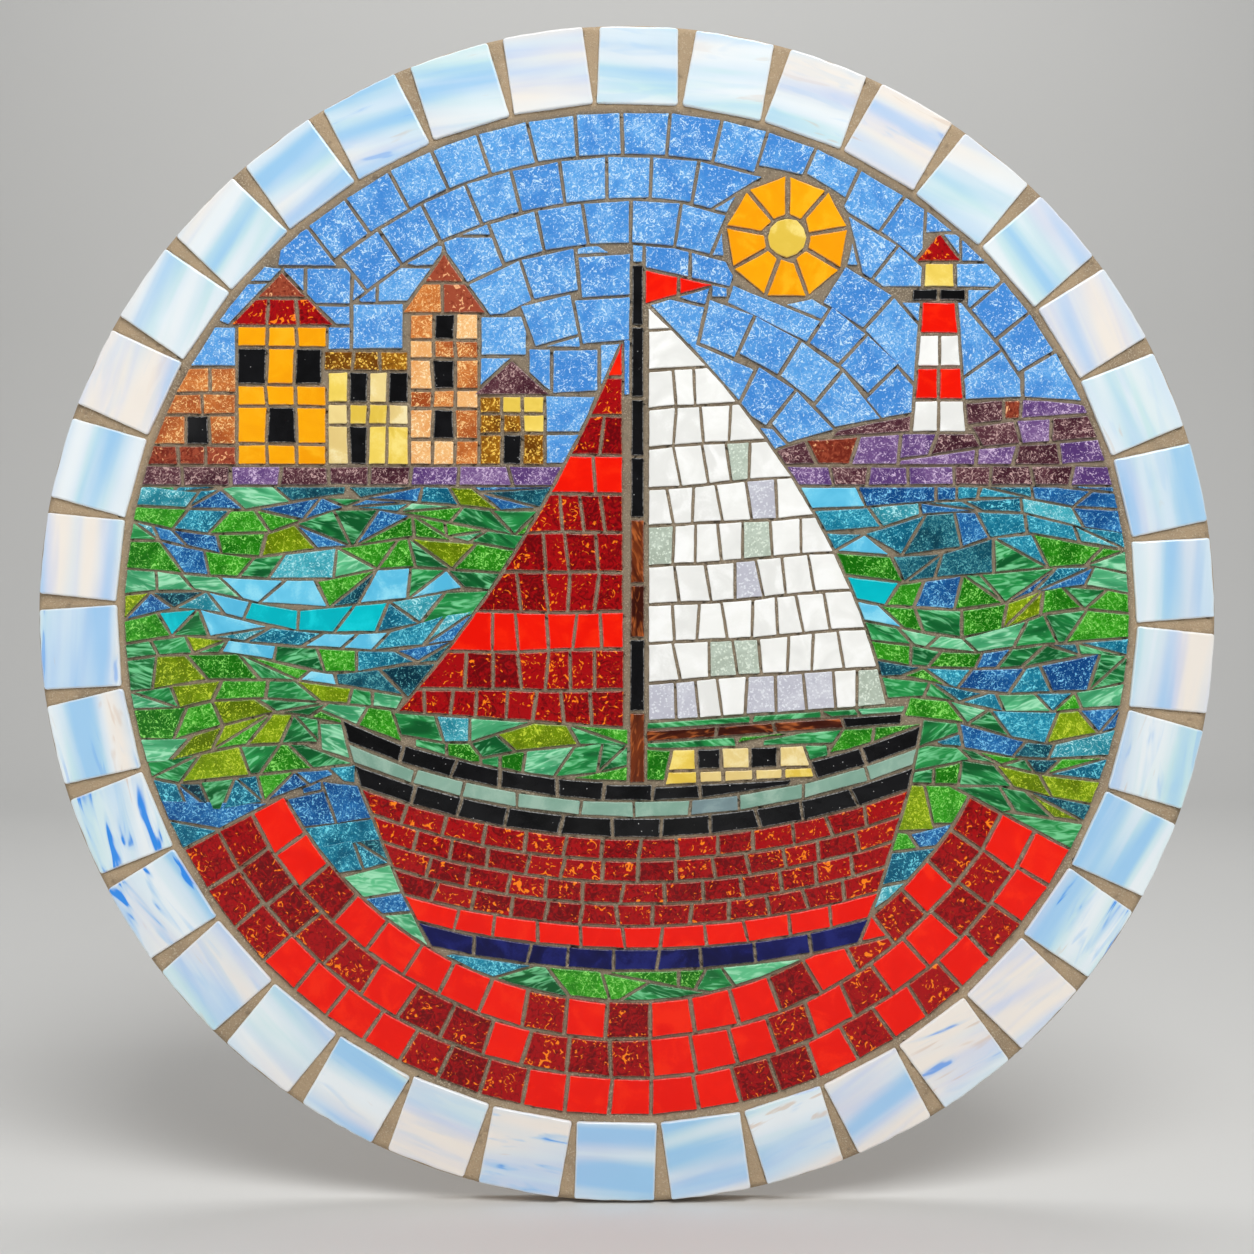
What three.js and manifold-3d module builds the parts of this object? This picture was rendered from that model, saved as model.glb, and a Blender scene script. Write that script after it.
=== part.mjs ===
// A round glass mosaic panel, upright, with its picture face towards -Y and its back on the wall at y = 0.
// The origin is the centre of the back face. Units are millimetres, +Z is up.

import * as THREE from 'three';
import { mergeVertices } from 'three/addons/utils/BufferGeometryUtils.js';
import Module from 'manifold-3d';

const wasm = await Module();
wasm.setup();

// The panel and its layers, from the wall outwards
const PANEL_RADIUS = 287;
const BOARD_THICKNESS = 10;
const ADHESIVE_THICKNESS = 1;
const FIELD_GROUT_HEIGHT = 4;
const BORDER_GROUT_HEIGHT = 4.8;

// The border: square glass tiles set round the rim, with wedge-shaped joints between them
const BORDER_TILE_COUNT = 38;
const TILE_WIDTH = 39.8;
const TILE_DEPTH = 38.9;
const TILE_THICKNESS = 5;
const TILE_CORNER_RADIUS = 1.6;
const TILE_EDGE_BEVEL = 0.7;
const TILE_RIM_SETBACK = 0.8;
const GROUT_LEDGE_WIDTH = 2.3;
const FIRST_JOINT_ANGLE = THREE.MathUtils.degToRad(91.2);

// The gap that keeps a tile clear of the grout round it
const FIT_GAP = 0.3;

// How finely curves are drawn
const DISC_SEGMENTS = 114;
const OUTER_EDGE_SEGMENTS = 4;
const CORNER_SEGMENTS = 2;

const TILE_OUTER_RADIUS = PANEL_RADIUS - TILE_RIM_SETBACK;
const TILE_INNER_RADIUS = TILE_OUTER_RADIUS - TILE_DEPTH;
const FIELD_RADIUS = TILE_INNER_RADIUS - GROUT_LEDGE_WIDTH;
const TILE_PITCH = (2 * Math.PI) / BORDER_TILE_COUNT;

const BOARD_FINISH = { color: 0xb08a62, roughness: 0.8, metalness: 0 };
const GROUT_FINISH = { color: 0xa58f72, roughness: 0.9, metalness: 0 };
const OPAL_GLASS_FINISH = { color: 0xcfe6f4, roughness: 0.15, metalness: 0 };

// A flat shape drawn in x and z becomes a plate: it starts at the given distance from the wall
// and grows towards the viewer.
function standPlate(geometry, distance) {
  geometry.rotateX(Math.PI / 2);
  geometry.translate(0, -distance, 0);
  return geometry;
}

// A round plate of the given radius and thickness.
function disc(radius, thickness, distance) {
  const plate = new THREE.CylinderGeometry(radius, radius, thickness, DISC_SEGMENTS);
  plate.translate(0, -distance - thickness / 2, 0);
  return plate;
}

// The outline of one border tile, widened by a margin, with the rim's middle at the top of the ring.
// The outer edge bows with the rim, the other three edges are straight, and the corners are rounded.
function tileOutline(margin, outerRadius) {
  const halfWidth = TILE_WIDTH / 2 + margin;
  const innerEdge = TILE_INNER_RADIUS - margin;
  const corner = TILE_CORNER_RADIUS;
  const rimHalfAngle = Math.asin((halfWidth - corner) / outerRadius);
  const rimShoulder = Math.sqrt(outerRadius ** 2 - halfWidth ** 2) - corner;
  const shape = new THREE.Shape();
  shape.moveTo(-halfWidth + corner, innerEdge);
  shape.lineTo(halfWidth - corner, innerEdge);
  shape.quadraticCurveTo(halfWidth, innerEdge, halfWidth, innerEdge + corner);
  shape.lineTo(halfWidth, rimShoulder);
  const rimPoint = (angle) => new THREE.Vector2(Math.sin(angle), Math.cos(angle)).multiplyScalar(outerRadius);
  const rimStart = rimPoint(rimHalfAngle);
  shape.quadraticCurveTo(halfWidth, rimShoulder + corner, rimStart.x, rimStart.y);
  for (let step = 1; step <= OUTER_EDGE_SEGMENTS; step += 1) {
    const point = rimPoint(rimHalfAngle * (1 - (2 * step) / OUTER_EDGE_SEGMENTS));
    shape.lineTo(point.x, point.y);
  }
  shape.quadraticCurveTo(-halfWidth, rimShoulder + corner, -halfWidth, rimShoulder);
  shape.lineTo(-halfWidth, innerEdge + corner);
  shape.quadraticCurveTo(-halfWidth, innerEdge, -halfWidth + corner, innerEdge);
  return shape;
}

// One glass border tile with bevelled edges, at the top of the ring.
function borderTileGeometry() {
  const tile = new THREE.ExtrudeGeometry(tileOutline(0, TILE_OUTER_RADIUS), {
    depth: TILE_THICKNESS - 2 * TILE_EDGE_BEVEL,
    curveSegments: CORNER_SEGMENTS,
    bevelEnabled: true,
    bevelThickness: TILE_EDGE_BEVEL,
    bevelSize: TILE_EDGE_BEVEL,
    bevelOffset: -TILE_EDGE_BEVEL,
    bevelSegments: 1,
  });
  const seat = BOARD_THICKNESS + ADHESIVE_THICKNESS + FIT_GAP;
  return standPlate(tile, seat + TILE_EDGE_BEVEL);
}

// The space that one border tile takes out of the grout, open at the rim and at the front.
function tilePocketGeometry() {
  const pocket = new THREE.ExtrudeGeometry(tileOutline(FIT_GAP, PANEL_RADIUS + TILE_RIM_SETBACK), {
    depth: TILE_THICKNESS,
    curveSegments: CORNER_SEGMENTS,
    bevelEnabled: false,
  });
  return standPlate(pocket, BOARD_THICKNESS + ADHESIVE_THICKNESS);
}

// A closed geometry as a solid that can be joined and cut.
function toSolid(geometry) {
  const bare = geometry.index ? geometry.clone() : geometry;
  bare.deleteAttribute('normal');
  bare.deleteAttribute('uv');
  const merged = mergeVertices(bare);
  return new wasm.Manifold(new wasm.Mesh({
    numProp: 3,
    vertProperties: new Float32Array(merged.attributes.position.array),
    triVerts: new Uint32Array(merged.index.array),
  }));
}

// A solid as a geometry that a mesh can hold.
function toGeometry(solid) {
  const { vertProperties, triVerts, numProp } = solid.getMesh();
  const geometry = new THREE.BufferGeometry();
  const positions = new THREE.InterleavedBuffer(vertProperties, numProp);
  geometry.setAttribute('position', new THREE.InterleavedBufferAttribute(positions, 3, 0));
  geometry.setIndex(new THREE.BufferAttribute(triVerts, 1));
  const plain = geometry.toNonIndexed();
  plain.computeVertexNormals();
  return plain;
}

// The angle of a border tile's middle, clockwise from the top as the viewer sees it.
function tileAngle(index) {
  return FIRST_JOINT_ANGLE + (index + 0.5) * TILE_PITCH;
}

// The grout and adhesive bed: a round layer, sunk a little inside the border, with a pocket for each border tile.
function groutBedGeometry() {
  const layer = toSolid(disc(PANEL_RADIUS, BORDER_GROUT_HEIGHT, BOARD_THICKNESS));
  const recess = toSolid(disc(FIELD_RADIUS, BORDER_GROUT_HEIGHT, BOARD_THICKNESS + FIELD_GROUT_HEIGHT));
  let bed = layer.subtract(recess);
  for (let index = 0; index < BORDER_TILE_COUNT; index += 1) {
    const pocket = tilePocketGeometry();
    pocket.rotateY(tileAngle(index));
    bed = bed.subtract(toSolid(pocket));
  }
  return toGeometry(bed);
}

// A named mesh with a finish of its own.
function piece(name, geometry, finish) {
  const mesh = new THREE.Mesh(geometry, new THREE.MeshStandardMaterial(finish));
  mesh.name = name;
  return mesh;
}

const panel = new THREE.Group();

panel.add(piece('backing_board', disc(PANEL_RADIUS, BOARD_THICKNESS, 0), BOARD_FINISH));
panel.add(piece('grout_bed', groutBedGeometry(), GROUT_FINISH));

for (let index = 0; index < BORDER_TILE_COUNT; index += 1) {
  const name = `border_tile_${String(index + 1).padStart(2, '0')}`;
  const tile = piece(name, borderTileGeometry(), OPAL_GLASS_FINISH);
  tile.rotation.y = tileAngle(index);
  panel.add(tile);
}

export default panel;
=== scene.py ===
"""A round glass mosaic panel: board, grout bed, opal border tiles and a harbour picture in hand-cut glass."""

import logging
import math
import random
from dataclasses import dataclass, field
from enum import Enum, member
from typing import Callable, Mapping, Sequence

import bpy
import numpy as np
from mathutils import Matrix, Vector
from mathutils.geometry import delaunay_2d_cdt


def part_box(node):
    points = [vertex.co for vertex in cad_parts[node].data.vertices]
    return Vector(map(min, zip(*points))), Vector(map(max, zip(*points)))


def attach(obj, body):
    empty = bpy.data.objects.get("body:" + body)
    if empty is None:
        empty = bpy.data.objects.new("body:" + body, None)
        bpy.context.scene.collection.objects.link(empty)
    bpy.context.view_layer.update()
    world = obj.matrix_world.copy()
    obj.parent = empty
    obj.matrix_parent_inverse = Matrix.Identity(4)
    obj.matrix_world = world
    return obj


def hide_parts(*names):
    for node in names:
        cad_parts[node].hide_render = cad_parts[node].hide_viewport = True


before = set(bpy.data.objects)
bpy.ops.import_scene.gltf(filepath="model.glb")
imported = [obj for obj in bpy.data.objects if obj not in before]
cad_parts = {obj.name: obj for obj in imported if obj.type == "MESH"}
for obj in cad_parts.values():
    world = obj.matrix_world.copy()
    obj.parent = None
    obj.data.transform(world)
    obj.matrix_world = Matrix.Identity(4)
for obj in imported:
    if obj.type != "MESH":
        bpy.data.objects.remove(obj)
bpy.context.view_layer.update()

log = logging.getLogger("mosaic")

Material = bpy.types.Material
Piece = bpy.types.Object
Point = tuple[float, float]
Outline = np.ndarray
Colour = tuple[float, float, float]
Screen = tuple[int, int, int]
Point3 = tuple[float, float, float]

MM = 0.001
FULL_TURN = 2 * math.pi
QUARTER_TURN = math.pi / 2
BODY = "root"
ORIGIN = (0.0, 0.0, 0.0)


def millimetres(node: str) -> tuple[np.ndarray, np.ndarray]:
    """Gives a CAD node's lowest and highest corners in millimetres.

    Args:
        node: The node's name.

    Returns:
        The two corners.
    """
    low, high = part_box(node)
    return np.array(low) / MM, np.array(high) / MM


BOARD_LOW, BOARD_HIGH = millimetres("backing_board")
GROUT_LOW, _ = millimetres("grout_bed")
TILE_LOW, TILE_HIGH = millimetres("border_tile_01")

# Heights are distances from the wall, in millimetres
PANEL_RADIUS = float(BOARD_HIGH[2])
BOARD_FACE = float(-BOARD_LOW[1])
BORDER_GROUT_LEVEL = float(-GROUT_LOW[1])
BORDER_FOOT = float(-TILE_HIGH[1])
BORDER_CROWN = float(-TILE_LOW[1])
FIELD_RADIUS = 245.0
ADHESIVE = 1.0
FIELD_GLASS = 4.0
FIELD_GROUT = 4.0
FIELD_FOOT = BOARD_FACE + ADHESIVE
FIELD_CROWN = FIELD_FOOT + FIELD_GLASS
FIELD_GROUT_LEVEL = BOARD_FACE + FIELD_GROUT


# Shader maths


def operator(operation: str, reflected: bool = False) -> "Callable[[Signal, Value], Signal]":
    """Makes an operator that adds one Math node.

    Args:
        operation: The node's operation.
        reflected: Whether the other value comes first.

    Returns:
        The operator's method.
    """

    def method(signal: "Signal", other: "Value") -> "Signal":
        """Adds the node."""
        first, second = (other, signal) if reflected else (signal, other)
        return signal.worked(operation, first, second)

    return method


class Signal:
    """A shader socket that Python operators work on, through Math nodes."""

    def __init__(self, tree: "Tree", socket: bpy.types.NodeSocket) -> None:
        """Wraps a socket of a tree."""
        self.tree = tree
        self.socket = socket

    def worked(self, operation: str, first: "Value", second: "Value") -> "Signal":
        """Adds one Math node."""
        return self.tree.node("ShaderNodeMath", {"operation": operation}, {0: first, 1: second}, 0)

    __add__ = operator("ADD")
    __radd__ = operator("ADD", reflected=True)
    __sub__ = operator("SUBTRACT")
    __rsub__ = operator("SUBTRACT", reflected=True)
    __mul__ = operator("MULTIPLY")
    __rmul__ = operator("MULTIPLY", reflected=True)

    def __abs__(self) -> "Signal":
        """Drops the sign."""
        return self.worked("ABSOLUTE", self, 0.0)

    def rise(self, low: float, high: float) -> "Signal":
        """Goes smoothly from 0 at one level to 1 at another.

        Args:
            low: The level where the result leaves 0.
            high: The level where it reaches 1.

        Returns:
            The smooth step.
        """
        settings = {"interpolation_type": "SMOOTHSTEP"}
        return self.tree.node("ShaderNodeMapRange", settings, {0: self, 1: low, 2: high}, 0)


Value = Signal | float


class Tree:
    """A material's node tree, with a Principled shader at its end."""

    def __init__(self, name: str) -> None:
        """Makes an empty material.

        Args:
            name: The material's name.
        """
        self.material = bpy.data.materials.new(name)
        self.material.use_nodes = True
        self.nodes = self.material.node_tree.nodes
        self.shader = self.nodes["Principled BSDF"]

    def node(self, kind: str, settings: Mapping, inputs: Mapping, output: str | int) -> Signal:
        """Adds any node.

        Args:
            kind: The node's type.
            settings: Its properties, set first.
            inputs: Values or signals by socket name or number.
            output: The socket that is wanted.

        Returns:
            That socket as a signal.
        """
        made = self.nodes.new(kind)
        for name, value in settings.items():
            setattr(made, name, value)
        for name, value in inputs.items():
            self.feed(made.inputs[name], value)
        return Signal(self, made.outputs[output])

    def feed(self, socket: bpy.types.NodeSocket, value: "Value | Colour") -> None:
        """Links a signal to a socket, or sets its value.

        Args:
            socket: The socket.
            value: The signal, number, vector or colour.
        """
        if isinstance(value, Signal):
            self.material.node_tree.links.new(value.socket, socket)
        elif socket.type == "RGBA" and len(value) == 3:
            socket.default_value = (*value, 1.0)
        else:
            socket.default_value = value

    def attribute(self, name: str, output: str = "Fac") -> Signal:
        """Reads an attribute of the mesh."""
        return self.node("ShaderNodeAttribute", {"attribute_name": name}, {}, output)

    def place(self) -> Signal:
        """Reads the piece's own coordinates, in metres."""
        return self.node("ShaderNodeTexCoord", {}, {}, "Object")

    def spot(self) -> Signal:
        """Reads the piece's own coordinates, in millimetres."""
        return self.stretched(self.place(), (1 / MM, 1 / MM, 1 / MM))

    def stretched(self, vector: Signal, factors: Sequence[float]) -> Signal:
        """Scales a vector by a factor for each axis."""
        settings = {"operation": "MULTIPLY"}
        return self.node("ShaderNodeVectorMath", settings, {0: vector, 1: tuple(factors)}, 0)

    def noise(self, vector: Signal, scale: float, detail: float = 2.0, warp: float = 0.0) -> Signal:
        """Adds a noise texture.

        Args:
            vector: Where to read it.
            scale: Its features for each unit of the vector.
            detail: How many finer layers it has.
            warp: How much it is distorted.

        Returns:
            Its value, about 0.5 on average.
        """
        inputs = {"Vector": vector, "Scale": scale, "Detail": detail, "Distortion": warp}
        return self.node("ShaderNodeTexNoise", {}, inputs, "Fac")

    def cells(self, vector: Signal, scale: float, output: str) -> Signal:
        """Adds a cell texture and gives the asked output of it."""
        return self.node("ShaderNodeTexVoronoi", {}, {"Vector": vector, "Scale": scale}, output)

    def mix(self, factor: Value, first: "Signal | Colour", second: "Signal | Colour") -> Signal:
        """Mixes two colours by a factor."""
        settings = {"data_type": "RGBA"}
        return self.node("ShaderNodeMix", settings, {0: factor, 6: first, 7: second}, 2)

    def finish(self, colour: Signal, roughness: Value, height: Signal, relief: float) -> Material:
        """Feeds the shader.

        Args:
            colour: The base colour.
            roughness: The surface's roughness.
            height: The height that the bump reads.
            relief: The bump's depth in millimetres.

        Returns:
            The finished material.
        """
        inputs = {"Height": height, "Strength": 1.0, "Distance": relief * MM}
        bump = self.node("ShaderNodeBump", {}, inputs, 0)
        self.feed(self.shader.inputs["Base Color"], colour)
        self.feed(self.shader.inputs["Roughness"], roughness)
        self.feed(self.shader.inputs["Normal"], bump)
        return self.material


def paint(red: int, green: int, blue: int) -> Colour:
    """Turns a screen colour of 0 to 255 into a linear one.

    Args:
        red: Red.
        green: Green.
        blue: Blue.

    Returns:
        The linear colour.
    """
    parts = [channel / 255 for channel in (red, green, blue)]
    linear = [part / 12.92 if part <= 0.04045 else ((part + 0.055) / 1.055) ** 2.4 for part in parts]
    return tuple(linear)


def blend(share: float, first: Colour, second: Colour) -> Colour:
    """Mixes two plain colours by the share of the second."""
    return tuple(one + (other - one) * share for one, other in zip(first, second))


# Finishes


Look = tuple[Signal, Signal]


@dataclass(frozen=True)
class Sheet:
    """A sheet of coloured glass, as its material reads it.

    The place is where on the sheet a point lies, in millimetres, and the lot, from 0 to 1, differs from
    piece to piece. Each figure's method gives a look: the colour and the height.
    """

    tree: Tree
    place: Signal
    lot: Signal
    deep: Colour
    body: Colour
    light: Colour

    def noise(self, scale: float, detail: float = 2.0, warp: float = 0.0) -> Signal:
        """Adds a noise texture over the sheet, as a tree does."""
        return self.tree.noise(self.place, scale, detail, warp)

    def toned(self, pattern: Signal, share: float, low: float, high: float) -> Signal:
        """Goes from the deep tone to the body by a pattern.

        Args:
            pattern: The pattern.
            share: How much the lot counts beside it.
            low: The level that is deep.
            high: The level that is body.

        Returns:
            The colour.
        """
        return self.tree.mix((pattern + self.lot * share).rise(low, high), self.deep, self.body)

    def lit(self, amount: Signal, colour: Signal) -> Signal:
        """Brings a colour nearer to the light tone."""
        return self.tree.mix(amount, colour, self.light)

    def mottled(self) -> Look:
        """Draws fine frost and bright curls over a cloudy body; the curls are a painted reflection of light
        on rippled glass.

        Returns:
            The look.
        """
        cloud = self.noise(0.09, 2.0, 0.6)
        worm = self.noise(0.2, 1.0, 2.0)
        net = self.noise(0.42, 1.0, 2.2)
        crystal = self.noise(0.7, 2.0, 1.2)
        body = self.toned(cloud, 0.4, 0.42, 0.98)
        grained = self.tree.mix(abs(net - 0.5).rise(0.06, 0.0) * 0.5, body, self.deep)
        frost = (crystal + cloud * 0.3 + self.lot * 0.08).rise(0.68, 0.9)
        # Painted reflection: bright curls stand for light caught in the ripples of the glass.
        curl_reflection = abs(worm - 0.52).rise(0.05, 0.022) * (crystal * 0.5 + cloud * 0.3 + net * 0.5).rise(0.62, 0.7)
        return self.lit(curl_reflection, self.lit(frost * 0.35, grained)), worm + crystal * 0.4

    def flecked(self) -> Look:
        """Draws bright flecks, each in a warm glow, over a dark body.

        Returns:
            The look.
        """
        cloud = self.noise(0.1, 2.0, 0.4)
        leaf = self.noise(0.26, 2.0, 2.2)
        glow = self.noise(0.28, 1.5, 1.8)
        warm = glow + cloud * 0.35
        ember = blend(0.3, self.body, self.light)
        body = self.toned(leaf, 0.25, 0.4, 0.75)
        halo = self.tree.mix((warm + self.lot * 0.05).rise(0.78, 0.93) * 0.8, body, ember)
        fleck = (warm + leaf * 0.1 + self.lot * 0.05).rise(0.885, 0.95)
        return self.lit(fleck, halo), leaf + glow * 0.4

    def streaked(self) -> Look:
        """Draws wispy bands along the sheet.

        Returns:
            The look.
        """
        drawn = self.tree.stretched(self.place, (0.035, 0.14, 0.14))
        band = self.tree.noise(drawn, 1.0, 1.0, 1.2)
        wisp = self.tree.noise(drawn, 2.4, 1.5, 1.8)
        body = self.toned(band, 0.3, 0.42, 0.85)
        return self.lit((wisp * 0.8 + band * 0.5).rise(0.62, 0.84) * 0.8, body), band + wisp * 0.6

    def plain(self) -> Look:
        """Draws an even colour with a faint cloud in it.

        Returns:
            The look.
        """
        cloud = self.noise(0.07, 3.0, 0.8)
        dust = self.noise(1.1)
        body = self.toned(cloud, 0.4, 0.4, 0.95)
        height = self.noise(0.16, 2.0, 0.5) + dust * 0.06
        return self.lit((cloud + dust * 0.2).rise(0.58, 0.8) * 0.7, body), height

    def sparkling(self) -> Look:
        """Draws small flakes of many tones.

        Returns:
            The look.
        """
        cloud = self.noise(0.14, 2.0, 0.6)
        flake = self.tree.cells(self.place, 1.3, "Color")
        speck = self.tree.node("ShaderNodeSeparateColor", {}, {0: flake}, 0)
        body = self.toned(cloud, 0.3, 0.4, 0.85)
        dark = self.tree.mix(speck.rise(0.2, 0.05) * 0.5, body, self.deep)
        return self.lit((speck + cloud * 0.3).rise(0.85, 1.1), dark), speck * 0.3 + cloud

    def pinholed(self) -> Look:
        """Draws an even colour with tiny pale holes.

        Returns:
            The look.
        """
        cloud = self.noise(0.12)
        hole = self.tree.cells(self.place, 0.33, "Distance").rise(0.1, 0.05)
        body = self.toned(cloud, 0.3, 0.4, 0.9)
        return self.lit(hole * cloud.rise(0.45, 0.6), body), cloud - hole * 0.5


class Figure(Enum):
    """How a sheet of glass is figured: the method that draws it."""

    MOTTLED = member(Sheet.mottled)
    FLECKED = member(Sheet.flecked)
    STREAKED = member(Sheet.streaked)
    PLAIN = member(Sheet.plain)
    SPARKLING = member(Sheet.sparkling)
    PINHOLED = member(Sheet.pinholed)


@dataclass(frozen=True)
class GlassFinish:
    """One kind of sheet glass: its figure, three tones as screen colours, and its surface."""

    figure: Figure
    deep: Screen
    body: Screen
    light: Screen
    roughness: float = 0.13
    relief: float = 0.05
    specular: float = 0.2
    chipped: Colour = (0.9, 0.88, 0.83)

    def build(self, name: str) -> Material:
        """Makes the material.

        Args:
            name: The material's name.

        Returns:
            The material, which reads the attributes of cut glass.
        """
        tree = Tree(name)
        tones = [paint(*tone) for tone in (self.deep, self.body, self.light)]
        sheet = Sheet(tree, tree.attribute("sheet", "Vector"), tree.attribute("lot"), *tones)
        edge = tree.attribute("edge")
        colour, height = self.figure.value(sheet)
        # The edges are painted paler: partly chipped wear, partly a painted highlight where the arris catches
        # the light.
        pale = blend(0.35, sheet.light, self.chipped)
        worn_and_highlit = tree.mix(edge * sheet.noise(0.9).rise(0.3, 0.7) * 0.55, colour, pale)
        roughness = self.roughness + edge * 0.22 + sheet.noise(0.35) * 0.08
        tree.shader.inputs["Specular IOR Level"].default_value = self.specular
        return tree.finish(worn_and_highlit, roughness, height, self.relief)


class Glass(Enum):
    """The sheets of glass that the picture is cut from: a figure, three tones and, for some, a roughness."""

    SKY = Figure.MOTTLED, (64, 134, 210), (94, 166, 230), (196, 226, 248)
    PURPLE = Figure.MOTTLED, (84, 54, 112), (122, 90, 142), (208, 184, 216)
    AUBERGINE = Figure.MOTTLED, (58, 24, 36), (92, 52, 62), (196, 162, 158)
    ORANGE = Figure.PLAIN, (246, 158, 3), (252, 172, 6), (254, 186, 30)
    CREAM = Figure.PLAIN, (226, 192, 72), (244, 214, 98), (252, 232, 142)
    PALE_CREAM = Figure.PLAIN, (228, 200, 128), (243, 220, 148), (250, 236, 188)
    GOLD = Figure.SPARKLING, (104, 58, 5), (158, 102, 18), (244, 196, 84), 0.2
    COPPER = Figure.MOTTLED, (158, 70, 30), (214, 126, 58), (250, 204, 138)
    BRICK = Figure.FLECKED, (112, 38, 26), (160, 74, 50), (240, 176, 124)
    PEACH = Figure.MOTTLED, (228, 152, 84), (246, 190, 122), (254, 228, 182)
    BLACK = Figure.PINHOLED, (10, 10, 11), (20, 20, 22), (220, 220, 218), 0.1
    TEAL = Figure.MOTTLED, (10, 84, 112), (32, 138, 168), (118, 218, 234)
    BLUE = Figure.MOTTLED, (14, 66, 126), (36, 112, 176), (126, 200, 238)
    AQUA = Figure.MOTTLED, (28, 122, 140), (72, 180, 196), (176, 234, 238)
    DEEP_SEA = Figure.MOTTLED, (6, 46, 62), (22, 92, 112), (92, 170, 176)
    EMERALD = Figure.STREAKED, (12, 86, 40), (38, 144, 72), (128, 216, 156)
    LEAF = Figure.MOTTLED, (18, 104, 6), (50, 156, 24), (140, 222, 102)
    LIME = Figure.MOTTLED, (84, 108, 2), (122, 156, 8), (194, 212, 56)
    PALE_GREEN = Figure.STREAKED, (54, 146, 96), (98, 194, 138), (172, 234, 194)
    LIGHT_BLUE = Figure.PLAIN, (84, 184, 222), (112, 206, 238), (156, 228, 246)
    TURQUOISE = Figure.PLAIN, (0, 178, 190), (3, 194, 204), (24, 210, 220)
    WHITE = Figure.PLAIN, (232, 232, 228), (246, 246, 242), (252, 252, 250)
    LAVENDER = Figure.SPARKLING, (190, 190, 202), (206, 207, 216), (226, 228, 234), 0.2
    SAGE = Figure.SPARKLING, (168, 180, 164), (190, 203, 188), (220, 230, 216), 0.2
    FROST = Figure.PLAIN, (122, 160, 142), (141, 176, 158), (160, 190, 172), 0.4
    SLATE = Figure.PLAIN, (106, 126, 130), (122, 145, 148), (142, 164, 164), 0.4
    NAVY = Figure.PLAIN, (6, 6, 56), (13, 17, 84), (30, 36, 112)
    BROWN = Figure.STREAKED, (58, 18, 8), (112, 48, 20), (186, 100, 48)
    RED = Figure.FLECKED, (104, 2, 8), (166, 8, 14), (255, 132, 22)
    VERMILION = Figure.PLAIN, (236, 16, 0), (246, 22, 1), (252, 42, 6)


@dataclass(frozen=True)
class OpalFinish:
    """White opal glass with soft bands of blue, aqua, lavender and tan."""

    white: Colour = paint(233, 240, 243)
    pale: Colour = paint(204, 225, 240)
    blue: Colour = paint(148, 198, 238)
    azure: Colour = paint(40, 138, 232)
    cream: Colour = paint(240, 232, 222)
    aqua: Colour = paint(188, 226, 228)
    lavender: Colour = paint(202, 210, 234)
    tan: Colour = paint(212, 182, 154)
    # Edge colour: chipped wear together with the painted bevel highlight.
    chipped: Colour = (0.95, 0.95, 0.93)
    relief: float = 0.06

    def build(self) -> Material:
        """Makes the material.

        Returns:
            The material, which reads the attributes of cut glass.
        """
        tree = Tree("opal_glass")
        sheet = tree.attribute("sheet", "Vector")
        lot = tree.attribute("lot")
        edge = tree.attribute("edge")
        bold = tree.attribute("bold")
        tint = tree.noise(tree.stretched(sheet, (0.005, 0.022, 0.022)), 1.0, 0.0)
        band = tree.noise(tree.stretched(sheet, (0.006, 0.07, 0.07)), 1.0, 0.0, 0.2)
        stream = tree.noise(tree.stretched(sheet, (0.008, 0.085, 0.085)), 1.0, 2.5, 0.5)
        wisp = tree.noise(tree.stretched(sheet, (0.03, 0.16, 0.16)), 1.0, 2.0, 0.6)
        ground = tree.mix((tint + lot * 0.35).rise(0.74, 0.56), self.white, self.cream)
        body = tree.mix((band + lot * 0.2).rise(0.42, 0.8), ground, self.pale)
        hue = tree.mix((tint + lot * 0.3).rise(0.6, 0.75), self.lavender, self.aqua)
        hued = tree.mix((stream + band * 0.5).rise(0.62, 0.95) * 0.7, body, hue)
        blued = tree.mix((band + stream * 0.4 + lot * 0.15).rise(0.8, 1.08) * 0.85, hued, self.blue)
        glow = tree.mix(bold * (wisp + stream * 0.4).rise(0.72, 0.88), blued, self.blue)
        strong = tree.mix(bold.rise(0.2, 0.4) * (wisp + stream * 0.4).rise(0.83, 0.9), glow, self.azure)
        rust = (bold + tint * 0.3).rise(0.2, 0.5) * (wisp + band * 0.3).rise(0.5, 0.42)
        milk = tree.mix(rust * 0.55, strong, self.tan)
        # Painted highlight along the bevelled edges, paler as chipped glass is, where the arris catches the
        # light.
        worn_and_highlit = tree.mix(edge * 0.6, milk, self.chipped)
        height = tree.noise(sheet, 0.06, 2.0) + wisp * 0.08
        return tree.finish(worn_and_highlit, 0.1 + edge * 0.15 + band * 0.06, height, self.relief)


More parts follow.
